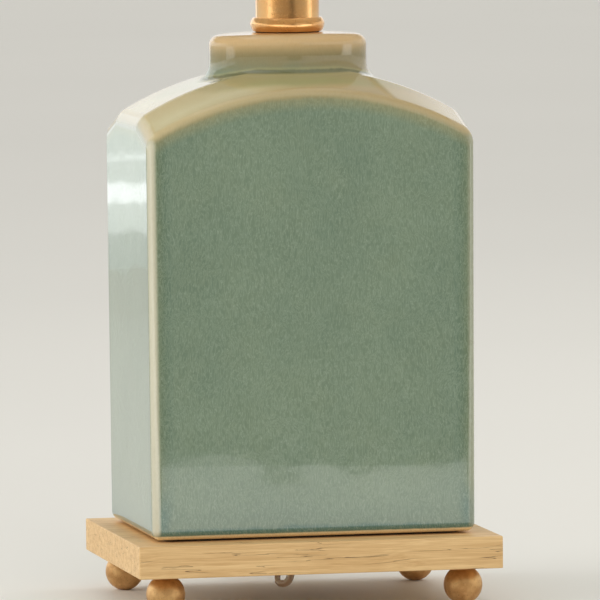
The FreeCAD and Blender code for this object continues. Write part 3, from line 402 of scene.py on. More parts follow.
class Effects:
    """The shader node groups, each built once."""

    def __init__(self) -> None:
        """Build both groups."""
        self.patina = self.make_patina()
        self.weave = self.make_weave()

    @staticmethod
    def make_patina() -> bpy.types.NodeTree:
        """Cloudy handling marks with fine specks.

        Returns:
            A group with Vector (millimetres), Size and Specks in, Cloud and Speck out.
        """
        board = shared_effect(
            "patina",
            [("Vector", "NodeSocketVector"), ("Size", "NodeSocketFloat"), ("Specks", "NodeSocketFloat")],
            ["Cloud", "Speck"],
        )
        start = board.new("NodeGroupInput")
        end = board.new("NodeGroupOutput")
        x, y, z = board.split(start.outputs["Vector"])
        size = board.field(start.outputs["Size"])
        scaled = (x / size, y / size, z / size)
        cloud = board.noise(scaled, (1.0, 1.0, 1.0), 4.0)
        fine = board.noise(scaled, (0.11, 0.11, 0.11), 2.0, 7.3)
        speck = fine.rise(0.6, 0.72) * board.field(start.outputs["Specks"])
        cloud.rise(0.3, 0.7).plug(end.inputs["Cloud"])
        speck.plug(end.inputs["Speck"])
        return board.tree

    @staticmethod
    def make_weave() -> bpy.types.NodeTree:
        """Plain weave of uneven threads, read from a flat map.

        Returns:
            A group with Across and Along (millimetres) and Pitch in, Height and Slub out.
        """
        board = shared_effect(
            "weave",
            [("Across", "NodeSocketFloat"), ("Along", "NodeSocketFloat"), ("Pitch", "NodeSocketFloat")],
            ["Height", "Slub"],
        )
        start = board.new("NodeGroupInput")
        end = board.new("NodeGroupOutput")
        pitch = board.field(start.outputs["Pitch"])
        across = board.field(start.outputs["Across"]) / pitch
        along = board.field(start.outputs["Along"]) / pitch
        warp_slub = board.noise((across, along, across * 0.0), (1.0, 30.0, 1.0), 1.0, 3.0)
        weft_slub = board.noise((across, along, across * 0.0), (26.0, 1.0, 1.0), 1.0, 9.0)
        warp = (across * math.pi).math("SINE").size()
        weft = (along * math.pi).math("SINE").size()
        over = ((across + along) * math.pi).math("SINE").math("SIGN") * 0.5 + 0.5
        thread = warp * (over * 0.5 + 0.5) + weft * (1.0 - over * 0.5)
        height = thread * 0.42 + (warp_slub + weft_slub) * 0.22
        height.plug(end.inputs["Height"])
        (warp_slub + weft_slub - 0.5).rise(0.15, 0.85).plug(end.inputs["Slub"])
        return board.tree


# ---------------------------------------------------------------- finishes
class Tone(enum.Enum):
    """Metals of the lamp: base colour light and dark, roughness low and high, patch size."""

    SATIN_BRASS = ((250, 200, 136), (240, 180, 112), 0.2, 0.27, 14.0)
    ANTIQUE_BALL = ((226, 184, 128), (198, 152, 100), 0.4, 0.5, 7.0)
    BRIGHT_BRASS = ((226, 196, 128), (205, 168, 98), 0.18, 0.30, 12.0)
    ZINC = ((178, 178, 174), (150, 150, 148), 0.30, 0.44, 6.0)
    ALUMINIUM = ((214, 214, 212), (190, 190, 190), 0.22, 0.36, 8.0)


@dataclass(frozen=True)
class MetalFinish:
    """Plated or lacquered metal with cloudy handling marks."""

    name: str
    tone: Tone
    specks: float = 0.35
    lacquer: float = 0.0
    worn_share: float = 0.55

    def material(self, effects: Effects) -> bpy.types.Material:
        """Build the material."""
        light, dark, smooth, rough, size = self.tone.value
        coat = Coat(self.name)
        cloud, speck = coat.patina(effects, size, self.specks)
        worn = tuple(part * self.worn_share for part in paint(*dark)[:3]) + (1.0,)
        values = {
            "Base Color": coat.mix(speck, coat.mix(cloud, light, dark), worn),
            "Metallic": 1.0,
            "Roughness": cloud * (rough - smooth) + smooth + speck * 0.15,
            "Coat Weight": self.lacquer,
            "Coat Roughness": 0.1,
        }
        return coat.done(values, cloud * 0.4 + speck * 0.2, 0.02)


@dataclass(frozen=True)
class PlasticFinish:
    """Moulded plastic, card or rubber."""

    name: str
    light: Point
    dark: Point
    roughness: float
    size: float = 9.0
    grain: float = 0.03
    clear: float = 0.0

    def material(self, effects: Effects) -> bpy.types.Material:
        """Build the material."""
        coat = Coat(self.name)
        cloud, speck = coat.patina(effects, self.size, 0.5)
        values = {
            "Base Color": coat.mix(cloud, self.light, self.dark),
            "Roughness": cloud * 0.1 + self.roughness + speck * 0.08,
            "Coat Weight": self.clear,
            "Coat Roughness": 0.12,
        }
        return coat.done(values, cloud * 0.5 + speck, self.grain)


@dataclass(frozen=True)
class ClothFinish:
    """Woven cloth on a piece with a flat map."""

    name: str
    light: Point
    dark: Point
    pitch: float
    depth: float
    glow: float = 0.0
    pale_gain: float = 1.07

    def material(self, effects: Effects) -> bpy.types.Material:
        """Build the material."""
        coat = Coat(self.name)
        across, along = coat.flat_place()
        weave = coat.use(effects.weave, Across=across, Along=along, Pitch=self.pitch)
        height = coat.field(weave.outputs["Height"])
        slub = coat.field(weave.outputs["Slub"])
        threads = coat.mix(height.rise(0.2, 0.8), self.dark, self.light)
        pale = tuple(min(1.0, part * self.pale_gain) for part in paint(*self.light)[:3]) + (1.0,)
        values = {
            "Base Color": coat.mix(slub * 0.6, threads, pale),
            "Roughness": 0.9 - slub * 0.1,
            "Sheen Weight": 0.25,
            "Sheen Roughness": 0.5,
            "Subsurface Weight": self.glow,
            "Subsurface Radius": (0.01, 0.008, 0.006),
            "Subsurface Scale": 0.05,
        }
        return coat.done(values, height, self.depth)


@dataclass(frozen=True)
class FeltFinish:
    """Short matted fibres."""

    name: str
    light: Point
    dark: Point
    fibre: Point = (0.9, 0.5, 0.7)

    def material(self, effects: Effects) -> bpy.types.Material:
        """Build the material."""
        coat = Coat(self.name)
        fibres = coat.noise(coat.place(), self.fibre, 5.0)
        cloud, _ = coat.patina(effects, 12.0, 0.6)
        values = {
            "Base Color": coat.mix(fibres.rise(0.35, 0.65) * 0.7 + cloud * 0.3, self.dark, self.light),
            "Roughness": 0.85 + cloud * 0.1,
            "Sheen Weight": 0.5,
        }
        return coat.done(values, fibres, 0.25)


@dataclass(frozen=True)
class WoodFinish:
    """Pale wood, its grain along X, with short dark checks."""

    name: str
    light: Point = (243, 208, 152)
    deep: Point = (208, 166, 110)
    check: Point = (112, 78, 44)
    band: Point = (150.0, 4.6, 2.6)
    pore: Point = (26.0, 0.8, 0.5)
    split: Point = (80.0, 6.0, 3.0)
    split_run: Point = (42.0, 9.0, 4.0)

    def material(self, effects: Effects) -> bpy.types.Material:
        """Build the material."""
        coat = Coat(self.name)
        place = coat.place()
        x, y, z = place
        bend = coat.noise(place, (90.0, 30.0, 20.0), 1.0, 4.0)
        warped = (x, y + bend * 14.0, z + bend * 5.0)
        bands = coat.noise(warped, self.band, 5.0)
        fine = coat.noise(warped, self.pore, 3.0, 5.0)
        # thin dark splits along the grain: where a long noise passes its middle value
        drift = coat.noise((x, y, z + bend * 9.0), self.split, 3.0, 11.0)
        broken = coat.noise(place, self.split_run, 1.0, 8.0).rise(0.52, 0.6)
        checks = (drift - 0.5).size().rise(0.012, 0.003) * broken
        streaks = bands.rise(0.3, 0.7) * 0.55 + fine.rise(0.3, 0.7) * 0.45
        cloud, _ = coat.patina(effects, 40.0, 0.4)
        stains = ((streaks, self.deep), (cloud * 0.22, self.deep), (checks * 0.75, self.check))
        values = {
            "Base Color": coat.layers(self.light, stains),
            "Roughness": 0.42 + fine * 0.2,
            "Specular IOR Level": 0.5,
        }
        return coat.done(values, fine * 0.6 + bands * 0.4 - checks, 0.16)


@dataclass(frozen=True)
class GlassFinish:
    """White-coated lamp glass."""

    name: str
    light: Point = (248, 247, 242)
    dark: Point = (236, 235, 230)

    def material(self, effects: Effects) -> bpy.types.Material:
        """Build the material."""
        coat = Coat(self.name)
        cloud, _ = coat.patina(effects, 22.0, 0.2)
        values = {
            "Base Color": coat.mix(cloud, self.light, self.dark),
            "Roughness": cloud * 0.06 + 0.3,
            "Coat Weight": 0.6,
            "Coat Roughness": 0.05,
        }
        return coat.done(values)


@dataclass(frozen=True)
class CordFinish:
    """Clear amber jacket over two stranded conductors, read from the cord's flat map."""

    name: str
    jacket: Point = (248, 232, 214)
    copper: Point = (236, 198, 162)
    groove_painted_shade: Point = (222, 184, 150)
    strand_pitch: float = 1.6
    map_width: float = 1000.0
    strands_round: float = 14.0

    def material(self, effects: Effects) -> bpy.types.Material:
        """Build the material."""
        coat = Coat(self.name)
        across, along = coat.flat_place()
        # the map's width is one trip round the cord, with a conductor at its start and middle
        round_trip = across / self.map_width
        lobe = (round_trip * (2 * math.pi)).math("COSINE").size()
        twist = ((along / self.strand_pitch + round_trip * self.strands_round) * math.pi).math("SINE").size()
        cloud, _ = coat.patina(effects, 11.0, 0.3)
        strands = coat.mix(twist, self.copper, self.jacket)
        # painted shade: the groove between the two lobes is painted darker
        body = coat.mix(lobe.rise(0.1, 0.75), self.groove_painted_shade, strands)
        values = {
            "Base Color": coat.mix(cloud * 0.3, body, self.jacket),
            "Roughness": 0.34 + cloud * 0.08,
            "Coat Weight": 1.0,
            "Coat Roughness": 0.08,
            "Subsurface Weight": 0.5,
            "Subsurface Radius": (0.004, 0.003, 0.002),
            "Subsurface Scale": 1.0,
        }
        return coat.done(values, twist * 0.2 + cloud * 0.3, 0.03)


@dataclass(frozen=True)
class GlazeFinish:
    """Crackled green glaze that breaks to cream on edges and pools to teal in hollows, with painted light on
    some edges.

    The sizes are the jar's own in millimetres: levels of its edges and crowns, and half widths.
    """

    name: str
    foot_z: float = 47.6
    half_foot: float = 108.3
    half_shoulder: float = 109.5
    half_depth: float = 74.3
    side_edge_z: float = 321.0
    side_crown_z: float = 352.5
    front_end_z: float = 309.9
    front_middle_z: float = 340.5
    ridge_end_z: float = 331.2
    ridge_middle_z: float = 362.9
    neck_top: float = 375.6
    half_neck: float = 52.75
    half_neck_depth: float = 38.0
    outline_round: float = 14.0
    green: Point = (127, 147, 126)
    green_deep: Point = (111, 133, 115)
    teal: Point = (80, 116, 106)
    cream: Point = (212, 207, 184)
    olive: Point = (150, 152, 108)
    moss: Point = (176, 178, 128)
    sand: Point = (208, 202, 162)
    tan: Point = (190, 168, 122)
    peach: Point = (236, 202, 150)
    bark: Point = (158, 146, 106)
    seam: Point = (84, 96, 66)
    # bright foot line: partly thin glaze, partly a painted reflection of the wood
    amber: Point = (250, 228, 184)
    thread: Point = (166, 182, 164)
    craze: Point = (80, 100, 84)
    ripple_depth: float = 0.45

    def arch(self, x: Field, middle: float, end: float) -> Field:
        """Height of an arch over the jar's width."""
        rise = middle - end
        radius = (self.half_shoulder**2 + rise**2) / (2 * rise)
        return x.arch(radius) + (middle - radius)

    def crackle(self, coat: Coat, place: tuple[Field, Field, Field]) -> tuple[Field, Field]:
        """Short fine threads that lean this way and that.

        Args:
            coat: The material under construction.
            place: Place on the jar in millimetres.

        Returns:
            The pale threads and the shadows beside them.
        """
        x, y, z = place
        lean = (coat.noise(place, (34.0, 34.0, 34.0), 1.0, 1.7) - 0.5) * 34.0
        lift = (coat.noise(place, (11.0, 11.0, 11.0), 2.0, 5.2) - 0.5) * 9.0
        combed = (x + lean * 0.6 + lift * 0.4, y + lean * 0.6 + lift * 0.4, z + lift)
        hairs = coat.noise(combed, (0.8, 0.8, 5.0), 1.0)
        crossing = coat.noise(combed, (2.6, 2.6, 1.3), 2.0, 3.3)
        net = coat.cracks((combed[0], combed[1], combed[2] + lift), (2.7, 2.7, 6.2), 4.4)
        long_cracks = coat.cracks(combed, (15.0, 15.0, 22.0), 9.1)
        patchy = coat.noise(place, (16.0, 16.0, 16.0), 2.0, 6.1).rise(0.3, 0.65)
        threads = (hairs - 0.56).size().rise(0.045, 0.01) * 0.8 + net.rise(0.07, 0.02) * patchy * 0.3
        threads = threads + crossing.rise(0.6, 0.72) * 0.3 + long_cracks.rise(0.01, 0.003) * 0.2
        return threads.least(1.0), hairs.rise(0.5, 0.4)

    def material(self, effects: Effects) -> bpy.types.Material:
        """Build the material."""
        coat = Coat(self.name)
        place = coat.place()
        x, y, z = place
        depth = y.size()
        wander = coat.noise(place, (26.0, 26.0, 26.0), 3.0) - 0.5
        speckle = coat.noise(place, (5.0, 5.0, 5.0), 3.0, 3.0) - 0.5
        ragged = wander * 3.0 + speckle * 1.2
        # distances inside the walls and under the shoulders
        taper = (self.half_shoulder - self.half_foot) / (self.side_edge_z - self.foot_z)
        side = (z - self.foot_z) * taper + self.half_foot - x.size()
        front = self.half_depth - depth
        side_roof = self.arch(x, self.side_crown_z, self.side_edge_z)
        ridge = self.arch(x, self.ridge_middle_z, self.ridge_end_z)
        eaves = self.arch(x, self.front_middle_z, self.front_end_z)
        front_roof = ridge + (eaves - ridge) * depth / self.half_depth
        under = side_roof.least(front_roof) - z
        over = 0.0 - under
        rise = z - self.foot_z
        # inside the rounded outline of the wall that the point lies on
        wall_edge = side.most(front)
        reach = self.outline_round
        gap_side = (reach - wall_edge).most(0.0)
        gap = (reach - under.most(0.0)).most(0.0).most((reach - rise).most(0.0))
        inset = reach - (gap_side * gap_side + gap * gap).math("SQRT")
        # the neck and the shoulders
        across_neck = x / self.half_neck
        along_neck = y / self.half_neck_depth
        on_neck = (across_neck * across_neck + along_neck * along_neck).math("SQRT")
        above = over.rise(1.0, 4.0) * on_neck.rise(1.3, 1.15)
        shoulder = (under + ragged * 0.3).rise(5.0, 0.5)
        near_neck = (on_neck + wander * 0.3 + speckle * 0.05).rise(1.85, 1.5)
        neck_rim = (self.neck_top - z + ragged * 0.8).rise(16.0, 3.0)
        seam = over.rise(0.0, 0.8) * (over + speckle * 0.8).rise(2.6, 1.5) * on_neck.rise(1.45, 1.35)
        # where the glaze runs thin and where it gathers, with painted light on the corners, the foot and the
        # shoulder
        # the corners' cream is partly thin glaze and partly a painted highlight, painted stronger on the left
        # corners, towards the window
        thin_glaze_and_left_highlight = x.rise(70.0, -70.0) * 0.6 + 0.3
        corner = (side + front + speckle * 0.15).rise(6.2, 3.7) * thin_glaze_and_left_highlight
        fold = under.most(0.0) + side.least(front) + ragged
        eave = fold.rise(6.5, 3.0) * 0.55 + fold.rise(15.0, 3.0) * 0.4
        blush = (inset + ragged * 1.5).rise(17.0, 2.0) * rise.rise(12.0, 40.0)
        crease = ((side_roof - front_roof).size() + under.size() * 2.0 + ragged).rise(9.0, 2.0)
        # painted reflection: the lowest few millimetres are painted bright cream, partly thin glaze at the edge
        # and partly the pale wood mirrored in it
        foot = (rise + ragged * 0.25).rise(3.4, 2.2)
        foot_pool = (rise + wander * 9.0).rise(26.0, 6.0) * 0.2
        foot_line = (rise + wander * 8.0 + speckle * 3.0).rise(8.5, 5.5) * 0.75
        side_pool = (wall_edge + wander * 5.0).rise(16.0, 6.5) * 0.85
        cloud = coat.noise(place, (70.0, 70.0, 90.0), 3.0, 8.0).rise(0.3, 0.7)
        # painted light: the shoulder's slope is painted darker, warmer tan towards the right and paler sand
        # towards the window on the left
        side_painted_light = (x + wander * 30.0).rise(-45.0, 40.0) * 0.75
        slope = coat.layers(self.sand, ((side_painted_light, self.tan), (near_neck, self.moss)))
        browned = (over + x * 0.12 + wander * 12.0).rise(-6.0, 9.0)
        wall = coat.layers(self.green, ((browned, self.bark), (neck_rim, self.peach)))
        threads, shadows = self.crackle(coat, place)
        strength = 1.0 - shoulder.most(above).most(corner).most(eave) * 0.8
        glazes = (
            (cloud * 0.6 + speckle * 0.25, self.green_deep),
            ((foot_pool + foot_line).most(side_pool), self.teal),
            (blush * 0.5, self.olive),
            (shoulder, slope),
            ((eave * 0.7).most(crease * 0.5), self.tan),
            (corner, self.cream),
            (above, wall),
            (seam * 0.8, self.seam),
            (foot, self.amber),
            (threads * strength * 0.42, self.thread),
            (shadows * strength * 0.18, self.craze),
        )
        values = {
            "Base Color": coat.layers(self.green, glazes),
            "Roughness": 0.035 + speckle * 0.01 + threads * 0.03,
            "IOR": 1.5,
            "Coat Weight": 0.5,
            "Coat Roughness": 0.02,
        }
        ripple = coat.noise(place, (60.0, 60.0, 44.0), 1.0, 2.2)
        return coat.done(values, ripple + threads * -0.012, self.ripple_depth)


# ---------------------------------------------------------------- meshes
def new_piece(name: str, mesh: bpy.types.Mesh) -> bpy.types.Object:
    """Link a mesh as a piece at the origin, shaded smooth."""
    piece = bpy.data.objects.new(name, mesh)
    bpy.context.scene.collection.objects.link(piece)
    mesh.shade_smooth()
    return piece


def mesh_of(
    name: str, points: np.ndarray, faces: Sequence[Sequence[int]], flat: np.ndarray | None = None
) -> bpy.types.Mesh:
    """Make a mesh.

    Args:
        name: The mesh's name.
        points: Corners in metres.
        faces: Corner numbers of each face.
        flat: Flat-map place of each face corner, in metres, or None.

    Returns:
        The mesh.
    """
    mesh = bpy.data.meshes.new(name)
    mesh.from_pydata([tuple(map(float, point)) for point in points], [], [list(face) for face in faces])
    if flat is not None:
        layer = mesh.uv_layers.new(name="flat")
        layer.data.foreach_set("uv", np.asarray(flat, dtype=np.float32).ravel())
    mesh.validate()
    mesh.update()
    return mesh


def loft(
    name: str, rings: np.ndarray, wrap: bool = False, lengths: tuple[np.ndarray, np.ndarray] | None = None
) -> bpy.types.Mesh:
    """Join rings of equal counts by quads.

    Args:
        name: The mesh's name.
        rings: Rings, corners, and x, y, z in metres.
        wrap: True joins the last ring to the first, otherwise both are closed with a face.
        lengths: Flat-map value of each ring and of each corner, the latter one longer, or None.

    Returns:
        The mesh.
    """
    count, around = rings.shape[:2]
    faces = []
    flat = []
    for ring in range(count if wrap else count - 1):
        after = (ring + 1) % count
        for corner in range(around):
            beside = (corner + 1) % around
            low, high = ring * around, after * around
            faces.append((low + corner, low + beside, high + beside, high + corner))
            if lengths is not None:
                along, across = lengths
                steps = ((0, 0), (0, 1), (1, 1), (1, 0))
                flat.extend((across[corner + right], along[ring + up]) for up, right in steps)
    if not wrap:
        faces.append(tuple(reversed(range(around))))
        faces.append(tuple(range((count - 1) * around, count * around)))
        if lengths is not None:
            along, across = lengths
            flat.extend([(across[0], along[0])] * around + [(across[0], along[-1])] * around)
    mesh = mesh_of(name, rings.reshape(-1, 3), faces, np.array(flat) if flat else None)
    outward(mesh)
    return mesh


def outward(mesh: bpy.types.Mesh) -> None:
    """Turn all faces of a closed mesh outwards."""
    work = bmesh.new()
    work.from_mesh(mesh)
    bmesh.ops.recalc_face_normals(work, faces=work.faces)
    if work.calc_volume(signed=True) < 0:
        bmesh.ops.reverse_faces(work, faces=work.faces)
    work.to_mesh(mesh)
    work.free()


def lengths_along(points: np.ndarray, closed: bool = False) -> np.ndarray:
    """Length of a line up to each of its points, and back to the first where it is closed."""
    line = np.vstack([points, points[:1]]) if closed else points
    return np.concatenate([[0.0], np.cumsum(np.linalg.norm(np.diff(line, axis=0), axis=1))])


def directions(line: np.ndarray) -> np.ndarray:
    """Unit vectors along a line."""
    ways = np.gradient(line, axis=0)
    return ways / np.linalg.norm(ways, axis=1, keepdims=True)


def rounded_rectangle(
    half_x: float, half_y: float, radius: float, corner_steps: int = 8, side_steps: int = 12
) -> np.ndarray:
    """Corners of a level rounded rectangle, anticlockwise from the front's left end.

    Args:
        half_x: Half width.
        half_y: Half depth.
        radius: Corner radius.
        corner_steps: Steps round each corner.
        side_steps: Steps along each side.

    Returns:
        x and y of each corner, in the unit of the sizes.
    """
    points = []
    for sign_x, sign_y, first in ((1, -1, -90), (1, 1, 0), (-1, 1, 90), (-1, -1, 180)):
        centre = np.array([sign_x * (half_x - radius), sign_y * (half_y - radius)])
        angles = np.radians(np.linspace(first, first + 90, corner_steps + 1))
        arc = centre + radius * np.stack([np.cos(angles), np.sin(angles)], axis=1)
        if points:
            start = points[-1][-1]
            shares = np.linspace(0, 1, side_steps + 1)[1:-1, None]
            points.append(start + (arc[0] - start) * shares)
        points.append(arc)
    shares = np.linspace(0, 1, side_steps + 1)[1:-1, None]
    points.append(points[-1][-1] + (points[0][0] - points[-1][-1]) * shares)
    return np.concatenate(points)


# ---------------------------------------------------------------- geometry nodes
def thread_tree() -> bpy.types.NodeTree:
    """Node tree that winds a ridge as a screw thread round the Z axis."""
    tree = bpy.data.node_groups.new("wound thread", "GeometryNodeTree")
    sizes = [(label, "Float") for label in ("Radius", "Height", "Turns", "Ridge", "Foot")]
    for label, kind in [("Geometry", "Geometry"), *sizes, ("Finish", "Material")]:
        tree.interface.new_socket(label, in_out="INPUT", socket_type="NodeSocket" + kind)
    tree.interface.new_socket("Geometry", in_out="OUTPUT", socket_type="NodeSocketGeometry")
    start, spiral, profile, sweep, lift, move, smooth, real, finish, end = (
        tree.nodes.new(kind)
        for kind in (
            "NodeGroupInput", "GeometryNodeCurveSpiral", "GeometryNodeCurvePrimitiveCircle",
            "GeometryNodeCurveToMesh", "ShaderNodeCombineXYZ", "GeometryNodeTransform",
            "GeometryNodeSetShadeSmooth", "GeometryNodeRealizeInstances", "GeometryNodeSetMaterial",
            "NodeGroupOutput",
        )
    )
    spiral.inputs["Resolution"].default_value = 28
    profile.inputs["Resolution"].default_value = 6
    sweep.inputs["Fill Caps"].default_value = True
    for source, output, target, socket in (
        (start, "Turns", spiral, "Rotations"),
        (start, "Radius", spiral, "Start Radius"),
        (start, "Radius", spiral, "End Radius"),
        (start, "Height", spiral, "Height"),
        (start, "Ridge", profile, "Radius"),
        (spiral, 0, sweep, "Curve"),
        (profile, 0, sweep, "Profile Curve"),
        (start, "Foot", lift, "Z"),
        (sweep, 0, move, "Geometry"),
        (lift, 0, move, "Translation"),
        (move, 0, smooth, "Geometry"),
        (smooth, 0, real, "Geometry"),
        (real, 0, finish, "Geometry"),
        (start, "Finish", finish, "Material"),
        (finish, 0, end, 0),
    ):
        tree.links.new(source.outputs[output], target.inputs[socket])
    return tree


def grown(name: str, tree: bpy.types.NodeTree, inputs: dict[str, object]) -> bpy.types.Object:
    """Run a geometry node tree and keep its result as a plain piece.

    Args:
        name: The piece's name.
        tree: The node tree.
        inputs: Its inputs by name.

    Returns:
        The piece.
    """
    start = bpy.data.objects.new(name + " start", bpy.data.meshes.new(name + " start"))
    bpy.context.scene.collection.objects.link(start)
    modifier = start.modifiers.new("grow", "NODES")
    modifier.node_group = tree
    for item in tree.interface.items_tree:
        if item.item_type == "SOCKET" and item.in_out == "INPUT" and item.name in inputs:
            modifier[item.identifier] = inputs[item.name]
    graph = bpy.context.evaluated_depsgraph_get()
    plain = bpy.data.meshes.new_from_object(start.evaluated_get(graph), depsgraph=graph)
    start.modifiers.remove(modifier)
    bpy.data.objects.remove(start)
    piece = bpy.data.objects.new(name, plain)
    bpy.context.scene.collection.objects.link(piece)
    return piece


# ---------------------------------------------------------------- the lamp's finishes
class Wardrobe:
    """Every material by the record's slot name."""

    def __init__(self, effects: Effects) -> None:
        """Build all finishes."""
        finishes = [
            GlazeFinish("celadon_glaze"),
            WoodFinish("pale_wood"),
            MetalFinish("gilt_ball", Tone.ANTIQUE_BALL, 0.6),
            MetalFinish("satin_brass", Tone.SATIN_BRASS, lacquer=0.6),
            MetalFinish("brass_plate", Tone.BRIGHT_BRASS),
            MetalFinish("zinc", Tone.ZINC),
            MetalFinish("aluminium", Tone.ALUMINIUM),
            PlasticFinish("black_plastic", (38, 37, 36), (26, 25, 25), 0.42),
            PlasticFinish("rubber", (46, 45, 44), (34, 33, 32), 0.75),
            FeltFinish("felt", (82, 66, 50), (50, 40, 30)),
            PlasticFinish("card", (176, 148, 112), (150, 122, 88), 0.8, 4.0, 0.08),
            GlassFinish("frosted_glass"),
            ClothFinish("shade_linen", (236, 229, 213), (204, 194, 174), 0.62, 0.16, 0.08),
            PlasticFinish("shade_liner", (246, 243, 236), (238, 234, 226), 0.6, 60.0, 0.02),
            ClothFinish("shade_trim", (230, 222, 204), (198, 187, 165), 0.5, 0.12),
            CordFinish("cord_jacket"),
            PlasticFinish("tie_paper", (236, 234, 228), (222, 219, 211), 0.7, 6.0, 0.05),
            PlasticFinish("clip_plastic", (226, 218, 198), (212, 202, 178), 0.3, 7.0, 0.01, 0.6),
            PlasticFinish("plug_plastic", (140, 102, 62), (118, 84, 50), 0.3, 8.0, 0.02, 0.8),
        ]
        self.materials = {finish.name: finish.material(effects) for finish in finishes}

    def dress_nodes(self, frame: dict) -> None:
        """Give every CAD node the finish of its slot."""
        slots = {row["node"]: row["material_slot"] for row in frame["record"]["subparts"]}
        for name, node in frame["nodes"].items():
            material = self.materials[slots[name.split("[")[0]]]
            if not node.material_slots:
                node.data.materials.append(material)
            for place in node.material_slots:
                place.material = material

    def finish(self, piece: bpy.types.Object, slot: str, body: str) -> None:
        """Give a new piece its material, slot and body.

        Args:
            piece: The piece.
            slot: The record's slot.
            body: The body it moves with.
        """
        piece.data.materials.clear()
        piece.data.materials.append(self.materials[slot])
        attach(piece, body)
        LOG.info("%s on %s, %d faces", piece.name, body, len(piece.data.polygons))


# ---------------------------------------------------------------- camera, floor and light
@dataclass(frozen=True)
class Lamp:
    """Soft rectangular light that glossy surfaces don't mirror."""

    name: str
    place: Point
    size: tuple[float, float]
    power: float
    colour: Point
    target: Point = (0.0, 0.0, 0.25)

    def add(self) -> None:
        """Hang the light and point it at its target."""
        data = bpy.data.lights.new(self.name, "AREA")
        data.shape = "RECTANGLE"
        data.size, data.size_y = self.size
        data.energy = self.power
        data.color = self.colour
        lamp = bpy.data.objects.new(self.name, data)
        lamp.location = self.place
        aim = Vector(self.target) - Vector(self.place)
        lamp.rotation_euler = aim.to_track_quat("-Z", "Y").to_euler()
        lamp.visible_camera = False
        lamp.visible_glossy = False
        bpy.context.scene.collection.objects.link(lamp)


